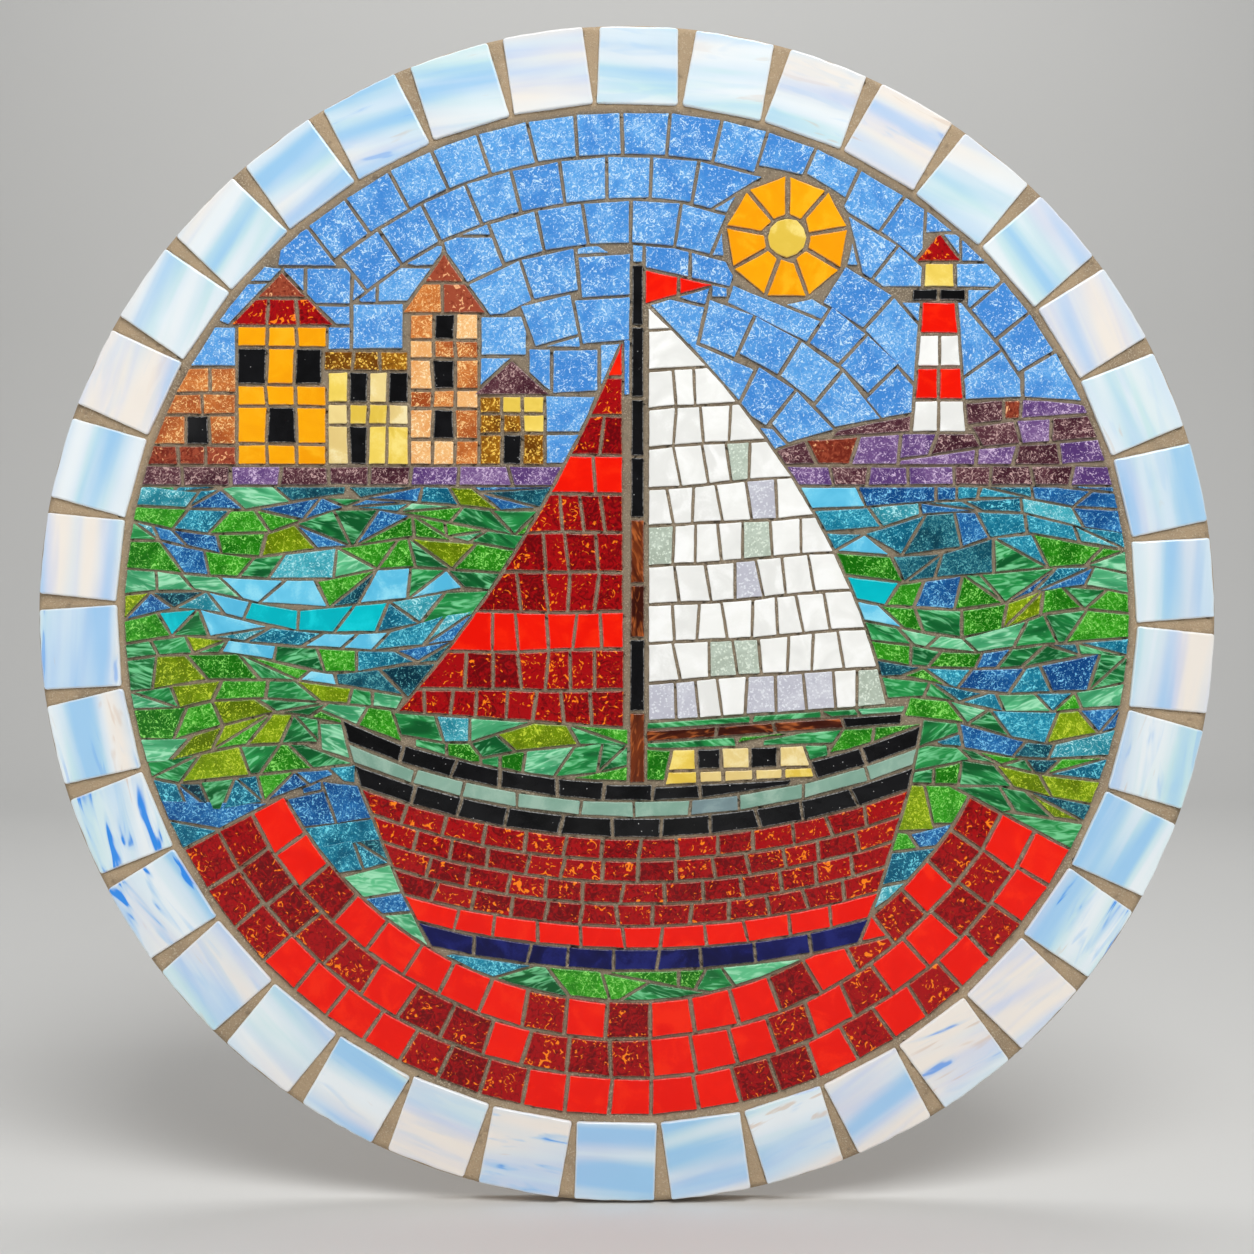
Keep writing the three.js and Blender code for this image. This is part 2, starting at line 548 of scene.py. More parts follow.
@dataclass(frozen=True)
class GroutFinish:
    """Sandy cement grout, tan in the border and greyer in the picture."""

    border: Colour = paint(176, 153, 123)
    field: Colour = paint(140, 125, 104)
    # Darker colour for real stains and for the painted shade in the pits.
    shade: Colour = paint(84, 72, 58)
    chalk: Colour = paint(212, 196, 170)
    relief: float = 0.5

    def build(self) -> Material:
        """Makes the material.

        Returns:
            The material, which reads the mesh's rim and pit attributes.
        """
        tree = Tree("cement_grout")
        spot = tree.spot()
        rim = tree.attribute("rim")
        pit = tree.attribute("pit")
        blotch = tree.noise(spot, 0.035, 3.0, 0.5)
        sand = tree.noise(spot, 1.3, 4.0)
        grit = tree.noise(spot, 3.2, 2.0)
        body = tree.mix(rim, self.field, self.border)
        stained = tree.mix((blotch + sand * 0.35).rise(0.62, 0.92) * 0.45, body, self.shade)
        sandy = tree.mix((sand + blotch * 0.25).rise(0.66, 0.82) * 0.55, stained, self.chalk)
        # Painted shade in the pits, and darker fine grit over the rest.
        pitted = tree.mix(pit + (grit + sand * 0.5).rise(0.62, 0.5) * 0.35, sandy, self.shade)
        return tree.finish(pitted, 0.85 + grit * 0.1, sand + grit * 0.5, self.relief)


@dataclass(frozen=True)
class BoardFinish:
    """Sealed fibreboard: grout-stained on the rim, plain brown on the back."""

    rim: Colour = paint(214, 182, 148)
    back: Colour = paint(168, 132, 92)
    fibre: Colour = paint(128, 94, 60)
    pale: Colour = paint(196, 164, 124)
    relief: float = 0.12

    def build(self) -> Material:
        """Makes the material.

        Returns:
            The material, which reads the mesh's rim attribute.
        """
        tree = Tree("fibreboard")
        spot = tree.spot()
        rim = tree.attribute("rim")
        cloud = tree.noise(spot, 0.012, 3.0, 0.4)
        felt = tree.noise(spot, 0.55, 5.0, 1.0)
        fleck = tree.noise(spot, 1.6, 3.0, 2.0)
        body = tree.mix(cloud.rise(0.3, 0.75) * 0.35, self.back, self.pale)
        fibres = tree.mix((felt + fleck * 0.3).rise(0.7, 0.84) * 0.6, body, self.fibre)
        specks = tree.mix((fleck + felt * 0.2).rise(0.74, 0.82) * 0.5, fibres, self.pale)
        smear = rim * (felt + cloud * 0.5).rise(0.4, 0.75)
        stained = tree.mix(smear, specks, self.rim)
        return tree.finish(stained, 0.62 + felt * 0.2, felt + fleck * 0.5, self.relief)


# Cutting glass to shape

# How a piece is tested against what lies round it, and cut until it fits
SAMPLE_STEP = 3.0
CUT_TOLERANCE = 0.35
MOST_CUTS = 26
SMALLEST_CUT = 4.0
NEARBY = 12.0
CORNER_BIAS = 1e-3
TINY = 1e-9

# How a course finds room, where across it looks first, and how far its end pieces reach before they are cut
COURSE_LEVELS = (0.5, 0.2, 0.8)
RUN_STEP = 1.0
LEAST_ROOM = 0.3
SHORTEST_RUN = 4.0
END_REACH = 1.2

# The waves in the line between two courses: length, height, and lag
WANDER = ((23.0, 1.0, 1.0), (11.0, 0.6, 2.1))

# How gaps are found, and the piece that fills one before it is cut
HOLE_STEP = 2.5
HOLE_DEPTH = 2.1
FILLER = np.array([(-1.0, -0.8), (1.0, -0.8), (1.0, 0.8), (-1.0, 0.8)])
FILLER_REACH = 1.6
FILLER_TWIST = 0.3
NO_COURSE = (-1, -1, -1)

# How corners are drawn out to meet what lies round them
GROWTH_STEP = 0.5
GROWTH_STEPS = 14
GROWTH_SLACK = 0.1
GROWTH_SAMPLES = 8


def area(outline: Outline) -> float:
    """Gives an outline's area, positive if it runs counter-clockwise."""
    across, up = outline[:, 0], outline[:, 1]
    return 0.5 * float(across @ np.roll(up, -1) - up @ np.roll(across, -1))


def counter_clockwise(outline: Outline) -> Outline:
    """Turns an outline round if it runs clockwise."""
    return outline if area(outline) > 0 else outline[::-1].copy()


def cut(piece: Outline, start: np.ndarray, away: np.ndarray) -> Outline:
    """Cuts a convex piece along a line.

    Args:
        piece: The piece's outline.
        start: A point on the line.
        away: The direction, square to the line, of the side that is thrown away.

    Returns:
        The side that is kept.
    """
    beyond = (piece - start) @ away
    kept = []
    for here, there, side, next_side in zip(piece, np.roll(piece, -1, 0), beyond, np.roll(beyond, -1)):
        if side <= 0:
            kept.append(here)
        if side * next_side < 0:
            kept.append(here + (there - here) * side / (side - next_side))
    return np.array(kept)


def inset(piece: Outline, width: float) -> Outline:
    """Trims every side of a convex piece.

    Args:
        piece: The outline, counter-clockwise.
        width: How much comes off each side.

    Returns:
        The smaller outline, which may be empty.
    """
    small = piece
    for here, there in zip(piece, np.roll(piece, -1, 0)):
        run = there - here
        length = math.hypot(*run)
        if length > TINY and len(small) > 2:
            away = np.array([run[1], -run[0]]) / length
            small = cut(small, here - away * width, away)
    return small


class Shape:
    """A closed outline that can say how deep inside it points lie."""

    def __init__(self, outline: Sequence[Point] | Outline) -> None:
        """Takes an outline.

        Args:
            outline: Its corners, in millimetres.
        """
        self.outline = counter_clockwise(np.asarray(outline, float))
        self.run = np.roll(self.outline, -1, 0) - self.outline
        self.length_squared = (self.run**2).sum(1) + TINY
        lengths = np.sqrt(self.length_squared)[:, None]
        self.outward = np.stack([self.run[:, 1], -self.run[:, 0]], 1) / lengths
        self.low = self.outline.min(0)
        self.high = self.outline.max(0)
        self.box = (*self.low.tolist(), *self.high.tolist())

    def beside(self, box: Sequence[float]) -> bool:
        """Says whether the outline's box comes close to another box.

        Args:
            box: The other box's left, lowest, right and highest line.

        Returns:
            Whether it does.
        """
        left, low, right, high = self.box
        across = left < box[2] + NEARBY and right > box[0] - NEARBY
        return across and low < box[3] + NEARBY and high > box[1] - NEARBY

    def near(self, points: np.ndarray) -> np.ndarray:
        """Says which points lie in or close to the outline's box."""
        return ((points > self.low - NEARBY) & (points < self.high + NEARBY)).all(1)

    def depth(self, points: np.ndarray) -> tuple[np.ndarray, np.ndarray, np.ndarray]:
        """Measures how deep points lie.

        Args:
            points: The points, one for each row.

        Returns:
            The depths, negative outside, and the start and run of each point's nearest side.
        """
        from_corner = points[:, None, :] - self.outline[None]
        share = np.clip((from_corner * self.run).sum(2) / self.length_squared, 0, 1)
        gap_squared = ((from_corner - share[..., None] * self.run) ** 2).sum(2)
        off_line = (from_corner * self.outward).sum(2)
        side = (gap_squared - CORNER_BIAS * off_line**2).argmin(1)
        distance = np.sqrt(gap_squared[np.arange(len(points)), side])
        low, high = self.outline[:, 1], np.roll(self.outline[:, 1], -1)
        level = points[:, 1:2]
        crossed = (low > level) != (high > level)
        climb = np.where(np.abs(high - low) < TINY, TINY, high - low)
        meets = self.outline[:, 0] + (level - low) / climb * self.run[:, 0]
        inside = (crossed & (points[:, 0:1] < meets)).sum(1) % 2 == 1
        return np.where(inside, distance, -distance), self.outline[side], self.run[side]


class Domain:
    """What is left of a shape inside the round field when other shapes lie over it."""

    def __init__(self, shape: Shape, over: Sequence[Shape]) -> None:
        """Takes the shape and those that lie over it."""
        self.shape = shape
        self.over = [other for other in over if other.beside(shape.box)]

    def around(self, points: np.ndarray) -> "Domain":
        """Gives the same domain with only the shapes that lie close to the points."""
        box = (*points.min(0).tolist(), *points.max(0).tolist())
        return Domain(self.shape, [other for other in self.over if other.beside(box)])

    def depth(self, points: np.ndarray) -> tuple[np.ndarray, np.ndarray, np.ndarray]:
        """Measures how deep points lie, as a shape does.

        Args:
            points: The points, one for each row.

        Returns:
            The depths, negative outside, and the start and run of each point's nearest side.
        """
        depth, start, run = self.shape.depth(points)
        radius = np.hypot(*points.T)[:, None] + TINY
        rim = points / radius * FIELD_RADIUS
        along_rim = np.stack([-rim[:, 1], rim[:, 0]], 1)
        outer = FIELD_RADIUS - radius[:, 0] < depth
        depth = np.where(outer, FIELD_RADIUS - radius[:, 0], depth)
        start = np.where(outer[:, None], rim, start)
        run = np.where(outer[:, None], along_rim, run)
        for other in self.over:
            close = np.flatnonzero(other.near(points))
            if close.size:
                into, other_start, other_run = other.depth(points[close])
                worse = -into < depth[close]
                changed = close[worse]
                depth[changed] = -into[worse]
                start[changed] = other_start[worse]
                run[changed] = other_run[worse]
        return depth, start, run


def spread(piece: Outline) -> np.ndarray:
    """Gives points along a piece's edge and halfway to its middle.

    Args:
        piece: The piece's outline.

    Returns:
        The points.
    """
    middle = piece.mean(0)
    points = []
    for here, there in zip(piece, np.roll(piece, -1, 0)):
        steps = max(1, int(math.hypot(*(there - here)) / SAMPLE_STEP))
        for step in range(steps):
            point = here + (there - here) * step / steps
            points += [point, (middle + point) / 2]
    return np.array(points)


def nibble(piece: Outline, core: np.ndarray, domain: Domain) -> Outline | None:
    """Cuts a piece along straight lines, as tile nippers do, until it fits.

    Args:
        piece: A convex outline.
        core: A point that stays in the piece.
        domain: Where the piece has to fit.

    Returns:
        The piece that is left, or None if nothing useful is.
    """
    local = domain.around(piece)
    for _ in range(MOST_CUTS):
        if len(piece) < 3 or area(piece) < SMALLEST_CUT:
            return None
        depth, start, run = local.depth(spread(piece))
        worst = int(depth.argmin())
        if depth[worst] > -CUT_TOLERANCE:
            return piece
        line = run[worst] / math.hypot(*run[worst])
        away = np.array([line[1], -line[0]])
        if (core - start[worst]) @ away > 0:
            away = -away
        piece = cut(piece, start[worst], away)
    return None


def drawn_out(piece: Outline, corner: int, way: int) -> Outline | None:
    """Draws one corner of a convex piece out along one of its sides.

    Args:
        piece: The outline, counter-clockwise.
        corner: The corner's number.
        way: 1 to follow the side before the corner, or -1 to follow the side after it.

    Returns:
        The larger outline, or None if it would not be convex.
    """
    count = len(piece)
    behind, here, ahead, beyond = (piece[(corner + way * step) % count] for step in (-1, 0, 1, 2))
    run = here - behind
    moved = here + run / (math.hypot(*run) + TINY) * GROWTH_STEP
    side, reach = beyond - ahead, moved - ahead
    if way * (side[0] * reach[1] - side[1] * reach[0]) < TINY:
        return None
    larger = piece.copy()
    larger[corner] = moved
    return larger


@dataclass(frozen=True)
class RingGuide:
    """Lines round a centre: across is the radius, and along runs from the lowest point."""

    centre: Point
    reference: float

    def place(self, along: float, across: float) -> np.ndarray:
        """Gives the point a length along a ring, measured on the reference ring."""
        turn = along / self.reference
        return np.array(self.centre) + across * np.array([math.sin(turn), -math.cos(turn)])

    def unit(self, across: float) -> float:
        """Gives the length on the reference ring that measures one millimetre at a radius."""
        return self.reference / across


@dataclass(frozen=True)
class LineGuide:
    """Straight lines, which may be tilted or swell like waves."""

    origin: Point
    tilt: float = 0.0
    swell: float = 0.0
    swell_length: float = 150.0
    swell_drift: float = 0.045

    def place(self, along: float, across: float) -> np.ndarray:
        """Gives a point on a line.

        Args:
            along: The length along the line.
            across: How far above the origin the line lies.

        Returns:
            The point.
        """
        phase = FULL_TURN * along / self.swell_length + across * self.swell_drift
        rise = across + self.swell * math.sin(phase)
        cosine, sine = math.cos(self.tilt), math.sin(self.tilt)
        sideways = self.origin[0] + along * cosine - rise * sine
        return np.array([sideways, self.origin[1] + along * sine + rise * cosine])

    def unit(self, across: float) -> float:
        """Gives one, because lengths along are true."""
        return 1.0


Guide = RingGuide | LineGuide


@dataclass(frozen=True)
class Spot:
    """Where a piece lies in its motif: its middle, its course, its turn there, and the last turn there."""

    middle: np.ndarray
    course: int
    turn: int
    last: int


Picker = Callable[[random.Random, Spot], Glass]


@dataclass
class Tessera:
    """One cut piece of glass: its outline, its glass and the way its sheet lies."""

    outline: Outline
    glass: Glass
    grain: float


@dataclass
class Motif:
    """An area of the picture, laid in courses along a guide.

    Courses lie between distances across the guide, and run along its span. The cuts between pieces lean,
    the lines between courses waver, and a share of the pieces is split from corner to corner. The glass
    goes into the named piece, or into patches of it where it is large.
    """

    name: str
    shape: Shape
    guide: Guide
    span: Point
    courses: Sequence[float]
    lengths: Point
    joint: float
    pick: Picker
    lean: float = 0.0
    waver: float = 0.0
    split: float = 0.0
    closed: bool = False
    patch: Point | None = None
    least: float = 9.0
    over: Sequence[Shape] = ()
    rng: random.Random = field(init=False)
    phases: list[float] = field(default_factory=list)
    taken: list[Shape] = field(default_factory=list)
    tesserae: list[Tessera] = field(default_factory=list)

    def lay(self, over: Sequence[Shape], seed: int) -> None:
        """Lays every course, fills what is left and closes the joints.

        Args:
            over: The shapes that lie over this one.
            seed: What its random draws start from.
        """
        self.over = over
        self.rng = random.Random(seed)
        self.phases = [self.rng.uniform(0, FULL_TURN) for _ in self.courses]
        for course in range(len(self.courses) - 1):
            laid: list[Shape] = []
            for level in COURSE_LEVELS:
                for run in self.runs(laid, course, level):
                    self.fill(laid, course, level, run)
        self.fill_holes()
        self.grow()

    def room(self, laid: Sequence[Shape]) -> Domain:
        """Gives what is left beside the shapes over this one and the glass that is laid."""
        return Domain(self.shape, [*self.over, *laid])

    def line(self, course: int, along: float) -> float:
        """Gives how far across the lower line of a course lies, with its waver."""
        waves = (high * math.sin(along / long + lag * self.phases[course]) for long, high, lag in WANDER)
        return self.courses[course] + self.waver * sum(waves)

    def spot(self, course: int, along: float, level: float) -> np.ndarray:
        """Gives a point in a course, at a level from 0 on its lower line to 1 on its upper one."""
        across = self.line(course, along) * (1 - level) + self.line(course + 1, along) * level
        return self.guide.place(along, across)

    def runs(self, laid: Sequence[Shape], course: int, level: float) -> list[Point]:
        """Finds the stretches of a course that are free.

        Args:
            laid: The course's pieces so far.
            course: The course's number.
            level: Where across the course to look.

        Returns:
            The start and end of each stretch.
        """
        alongs = np.arange(self.span[0], self.span[1], RUN_STEP)
        points = np.array([self.spot(course, along, level) for along in alongs])
        free = self.room(laid).depth(points)[0] > LEAST_ROOM
        edges = np.flatnonzero(np.diff(np.concatenate([[False], free, [False]]).astype(int)))
        stretches = [(alongs[first], alongs[last - 1]) for first, last in zip(edges[::2], edges[1::2])]
        return [(start, end) for start, end in stretches if end - start > SHORTEST_RUN]

    def fill(self, laid: list[Shape], course: int, level: float, run: Point) -> None:
        """Cuts pieces to fill one stretch of a course.

        Args:
            laid: The course's pieces so far, to which the new ones are added.
            course: The course's number.
            level: Where across the course the stretch was found.
            run: The stretch's start and end.
        """
        domain = self.room(laid)
        start, end = run
        low, high = self.courses[course : course + 2]
        unit = self.guide.unit((low + high) / 2)
        lengths = [unit * self.rng.uniform(*self.lengths)]
        while sum(lengths) < end - start:
            lengths.append(unit * self.rng.uniform(*self.lengths))
        if len(lengths) > 1 and sum(lengths) - (end - start) > lengths[-1] / 2:
            lengths.pop()
        cuts = start + (end - start) / sum(lengths) * np.concatenate([[0], np.cumsum(lengths)])
        reach = 0.0 if self.closed else END_REACH * unit * abs(high - low)
        leans = [0.0, *(unit * self.rng.uniform(-self.lean, self.lean) for _ in cuts[1:-1]), 0.0]
        ends = cuts + np.array([-reach, *np.zeros(len(cuts) - 2), reach])
        for turn in range(len(cuts) - 1):
            left, right = ends[turn : turn + 2]
            lean_left, lean_right = leans[turn : turn + 2]
            corners = [
                self.spot(course, left - lean_left, 0.0),
                self.spot(course, right - lean_right, 0.0),
                self.spot(course, right + lean_right, 1.0),
                self.spot(course, left + lean_left, 1.0),
            ]
            middle = (cuts[turn] + cuts[turn + 1]) / 2
            core = self.spot(course, middle, level)
            piece = nibble(counter_clockwise(np.array(corners)), core, domain)
            if piece is None:
                continue
            ahead = self.spot(course, middle + 1, level) - core
            grain = math.atan2(ahead[1], ahead[0])
            place = (course, turn, len(cuts) - 2)
            if any([self.keep(part, grain, place) for part in self.parted(piece)]):
                laid.append(Shape(piece))
                self.taken.append(laid[-1])

    def parted(self, piece: Outline) -> list[Outline]:
        """Cuts some four-sided pieces from corner to corner.

        Args:
            piece: The piece's outline.

        Returns:
            The piece, or its two parts.
        """
        if len(piece) != 4 or self.rng.random() >= self.split:
            return [piece]
        turned = np.roll(piece, self.rng.randrange(2), 0)
        return [turned[[0, 1, 2]], turned[[0, 2, 3]]]

    def keep(self, piece: Outline, grain: float, place: tuple[int, int, int]) -> bool:
        """Chooses a piece's glass and keeps it, if it is large enough without its joints.

        Args:
            piece: The outline in the middle of the joints.
            grain: The direction of its course.
            place: Its course, its turn, and the last turn there.

        Returns:
            Whether it was kept.
        """
        small = inset(piece, self.joint / 2)
        if len(small) < 3 or area(small) < self.least:
            return False
        glass = self.pick(self.rng, Spot(small.mean(0), *place))
        self.tesserae.append(Tessera(piece, glass, grain))
        return True

    def fill_holes(self) -> None:
        """Fills the gaps that the courses leave, the largest first."""
        across, up = (np.arange(low, high, HOLE_STEP) for low, high in zip(self.shape.low, self.shape.high))
        points = np.stack(np.meshgrid(across, up), -1).reshape(-1, 2)
        depth = self.room(self.taken).depth(points)[0]
        while depth.max(initial=0.0) > HOLE_DEPTH:
            deepest = int(depth.argmax())
            core = points[deepest]
            domain = self.room(self.taken)
            sizes = (max(self.lengths) / 2, FILLER_REACH * depth[deepest])
            depth[deepest] = 0.0
            for size in sizes:
                piece = nibble(FILLER * size + core, core, domain)
                if piece is None:
                    continue
                if self.keep(piece, self.rng.uniform(-FILLER_TWIST, FILLER_TWIST), NO_COURSE):
                    self.taken.append(Shape(piece))
                    close = self.taken[-1].near(points)
                    depth[close] = np.minimum(depth[close], -self.taken[-1].depth(points[close])[0])
                    break

    def grow(self) -> None:
        """Draws corners out until the pieces meet what lies round them, then trims the joints."""
        shapes = [Shape(tessera.outline) for tessera in self.tesserae]
        beside = [
            [other for other in range(len(shapes)) if other != index and shapes[other].beside(shape.box)]
            for index, shape in enumerate(shapes)
        ]
        above = [[other for other in self.over if other.beside(shape.box)] for shape in shapes]
        moves = [
            (index, corner, way)
            for index, shape in enumerate(shapes)
            for corner in range(len(shape.outline))
            for way in (-1, 1)
        ]
        for _ in range(GROWTH_STEPS):
            open_moves = []
            for index, corner, way in moves:
                drawn = drawn_out(shapes[index].outline, corner, way)
                if drawn is None:
                    continue
                domain = Domain(self.shape, [*above[index], *(shapes[other] for other in beside[index])])
                ahead = drawn[(corner + way) % len(drawn)]
                edge = np.linspace(drawn[corner], ahead, GROWTH_SAMPLES)[:-1]
                if domain.depth(edge)[0].min() > -GROWTH_SLACK:
                    shapes[index] = Shape(drawn)
                    open_moves.append((index, corner, way))
            moves = open_moves
        self.tesserae = [
            Tessera(inset(shape.outline, self.joint / 2), tessera.glass, tessera.grain)
            for shape, tessera in zip(shapes, self.tesserae)
        ]


# The picture

CENTRE = (0.0, 0.0)
ACROSS = (-FIELD_RADIUS, FIELD_RADIUS)
HORIZON = 72.0
SHORE_DEPTH = 10.0
SEED = 38


def below(centre: Point, radius: float, start: float, end: float, steps: int = 24) -> list[Point]:
    """Draws an arc.

    Args:
        centre: Its centre.
        radius: Its radius.
        start: Where it starts, in degrees counter-clockwise from its lowest point.
        end: Where it ends.
        steps: How many straight parts it has.

    Returns:
        Its points.
    """
    turns = np.radians(np.linspace(start, end, steps + 1))
    return [(centre[0] + radius * math.sin(turn), centre[1] - radius * math.cos(turn)) for turn in turns]


def disc(centre: Point, radius: float, sides: int) -> Shape:
    """Gives a round shape."""
    return Shape(below(centre, radius, 0, 360, sides)[:-1])


def bow(start: Point, bend: Point, end: Point, steps: int) -> list[Point]:
    """Draws a curve.

    Args:
        start: Where it starts.
        bend: The point that draws it aside.
        end: Where it ends.
        steps: How many straight parts it has.

    Returns:
        Its points.
    """
    share = np.linspace(0, 1, steps + 1)[:, None]
    first, second, third = (np.array(point, float) for point in (start, bend, end))
    curve = first * (1 - share) ** 2 + second * 2 * share * (1 - share) + third * share**2
    return [tuple(point) for point in curve]


def rectangle(left: float, low: float, right: float, high: float) -> Shape:
    """Gives an upright rectangle."""
    return Shape([(left, low), (right, low), (right, high), (left, high)])


def mixed(*glasses: Glass, **shares: float) -> Picker:
    """Makes a picker that chooses among glasses by their shares.

    Args:
        glasses: Glasses with a share of one.
        shares: The shares of other glasses by name.

    Returns:
        The picker.
    """
    weights = {glass: 1.0 for glass in glasses} | {Glass[name]: share for name, share in shares.items()}
    return lambda rng, spot: rng.choices(list(weights), list(weights.values()))[0]


@dataclass(frozen=True)
class Sky:
    """Square tiles in rings that follow the border."""

    horizon: float
    course: float = 21.6
    courses: int = 9
    lengths: Point = (21.3, 23.3)
    reach: float = 1.45

    def motifs(self) -> list[Motif]:
        """Lays out the sky.

        Returns:
            Its motif.
        """
        rings = [FIELD_RADIUS - self.course * count for count in range(self.courses, -1, -1)]
        span = (FIELD_RADIUS * (math.pi - self.reach), FIELD_RADIUS * (math.pi + self.reach))
        shape = rectangle(-FIELD_RADIUS, self.horizon, FIELD_RADIUS, FIELD_RADIUS)
        sky = Motif(
            "sky", shape, RingGuide(CENTRE, FIELD_RADIUS), span, rings, self.lengths, joint=1.2,
            pick=mixed(Glass.SKY), lean=0.5, waver=0.3, patch=(123.0, 60.0),
        )
        return [sky]


@dataclass(frozen=True)
class Sun:
    """A round sun of wedges with a pale middle."""

    centre: Point = (78.0, 183.0)
    radius: float = 31.0
    eye: float = 10.5
    rays: int = 9
    joint: float = 1.5

    def motifs(self) -> list[Motif]:
        """Lays out the sun.

        Returns:
            The ring of rays, and the middle.
        """
        ring = (self.radius + self.eye) / 2
        ray = FULL_TURN * ring / self.rays
        width = 3 * self.eye
        rays = Motif(
            "sun", disc(self.centre, self.radius, 40), RingGuide(self.centre, ring),
            (-math.pi * ring, math.pi * ring), [self.eye, self.radius], (ray, ray), self.joint,
            mixed(Glass.ORANGE), closed=True,
        )
        eye = Motif(
            "sun", disc(self.centre, self.eye, 12), LineGuide(self.centre), (-self.eye, self.eye),
            [-self.eye, self.eye], (width, width), self.joint, mixed(Glass.CREAM),
        )
        return [rays, eye]


@dataclass(frozen=True)
class Headland:
    """A long purple hill on the far shore."""

    foot: float
    left: float = 52.0
    slope_bend: Point = (90.0, 90.0)
    shoulder: Point = (140.0, 97.0)
    crest_bend: Point = (190.0, 112.0)
    tilt: float = 0.09
    courses: Sequence[float] = (-12.0, -1.0, 11.0, 23.0, 35.0, 50.0)
    span: Point = (-10.0, 220.0)

    def motifs(self) -> list[Motif]:
        """Lays out the hill.

        Returns:
            Its motif.
        """
        start, end = (self.left, self.foot), (FIELD_RADIUS, self.shoulder[1])
        slope = bow(start, self.slope_bend, self.shoulder, 8)
        top = bow(self.shoulder, self.crest_bend, end, 8)
        shape = Shape([*slope, *top[1:], (FIELD_RADIUS, self.foot)])
        hill = Motif(
            "headland", shape, LineGuide(start, self.tilt), self.span, self.courses, (15.0, 23.0), joint=1.1,
            pick=mixed(PURPLE=2, AUBERGINE=2, BRICK=1), lean=3.0, waver=0.8,
        )
        return [hill]


@dataclass(frozen=True)
class Lighthouse:
    """A banded tower, and the height, widths and glass of the gallery, the lantern and the cap on it."""

    middle: float = 152.0
    foot: float = 88.0
    band: float = 16.0
    bands: int = 4
    tower: Point = (27.0, 17.0)
    upper: Sequence[tuple[float, Point, Picker]] = (
        (6.5, (27.0, 27.0), mixed(Glass.BLACK)),
        (12.5, (16.0, 15.0), mixed(Glass.CREAM)),
        (14.0, (24.0, 2.0), mixed(Glass.RED)),
    )

    def tier(self, low: float, high: float, widths: Point, pick: Picker, courses: int = 1) -> Motif:
        """Lays out one tier.

        Args:
            low: Its foot.
            high: Its top.
            widths: Its widths at the foot and at the top.
            pick: Chooses its glass.
            courses: How many courses it has.

        Returns:
            The tier's motif.
        """
        wide, narrow = widths[0] / 2, widths[1] / 2
        corners = [(-wide, low), (wide, low), (narrow, high), (-narrow, high)]
        shape = Shape([(self.middle + across, up) for across, up in corners])
        levels = list(np.linspace(0, high - low, courses + 1))
        lengths = (0.5 * wide + 5, 0.5 * wide + 7)
        guide = LineGuide((self.middle, low))
        return Motif("lighthouse", shape, guide, (-wide, wide), levels, lengths, joint=1.2, pick=pick)

    def striped(self, rng: random.Random, spot: Spot) -> Glass:
        """Chooses white and red by turns up the tower."""
        return (Glass.WHITE, Glass.VERMILION)[spot.course % 2]

    def motifs(self) -> list[Motif]:
        """Lays out the lighthouse.

        Returns:
            The tiers from the foot up.
        """
        top = self.foot + self.band * self.bands
        tiers = [self.tier(self.foot, top, self.tower, self.striped, self.bands)]
        for height, widths, pick in self.upper:
            tiers.append(self.tier(top, top + height, widths, pick))
            top += height
        return tiers


@dataclass(frozen=True)
class House:
    """A house front with dark windows, and a gable if it has one."""

    name: str
    sides: Point
    levels: Point
    storeys: Sequence[float]
    columns: int
    windows: Sequence[tuple[int, int]]
    walls: Picker
    gable: float = 0.0
    slates: Picker | None = None
    eaves_reach: float = 4.0
    tall: float = 20.0
    joint: float = 1.1

    def pick(self, rng: random.Random, spot: Spot) -> Glass:
        """Chooses black for a window, and the walls' glass elsewhere."""
        return Glass.BLACK if (spot.course, spot.turn) in self.windows else self.walls(rng, spot)

    def motifs(self) -> list[Motif]:
        """Lays out the house.

        Returns:
            The front, and the gable if there is one.
        """
        (left, right), (foot, eaves) = self.sides, self.levels
        width = right - left
        levels = np.concatenate([[0], np.cumsum(self.storeys)]) * (eaves - foot) / sum(self.storeys)
        bay = width / self.columns
        front = Motif(
            self.name, rectangle(left, foot, right, eaves), LineGuide((left, foot)), (0.0, width + 0.5),
            list(levels), (0.95 * bay, 1.05 * bay), self.joint, self.pick, lean=0.5, waver=0.3,
        )
        if not self.gable:
            return [front]
        ridge = ((left + right) / 2, eaves + self.gable)
        ends = [(left - self.eaves_reach, eaves), (right + self.eaves_reach, eaves)]
        courses = list(np.linspace(0, self.gable, 2 if self.gable < self.tall else 3))
        span = (0.0, width + 2 * self.eaves_reach)
        gable = Motif(
            self.name, Shape([*ends, ridge]), LineGuide(ends[0]), span, courses, (13.0, 17.0), self.joint,
            self.slates, lean=1.0,
        )
        return [front, gable]


@dataclass(frozen=True)
class Shore:
    """One dark course where the land meets the water."""

    low: float
    high: float

    def motifs(self) -> list[Motif]:
        """Lays out the shore.

        Returns:
            Its motif.
        """
        shape = rectangle(-FIELD_RADIUS, self.low, FIELD_RADIUS, self.high)
        shore = Motif(
            "shore", shape, LineGuide((0.0, self.low)), ACROSS, [0.0, self.high - self.low], (17.0, 25.0),
            joint=1.1, pick=mixed(PURPLE=2, AUBERGINE=3), lean=1.5, waver=0.4, patch=(250.0, 60.0),
        )
        return [shore]


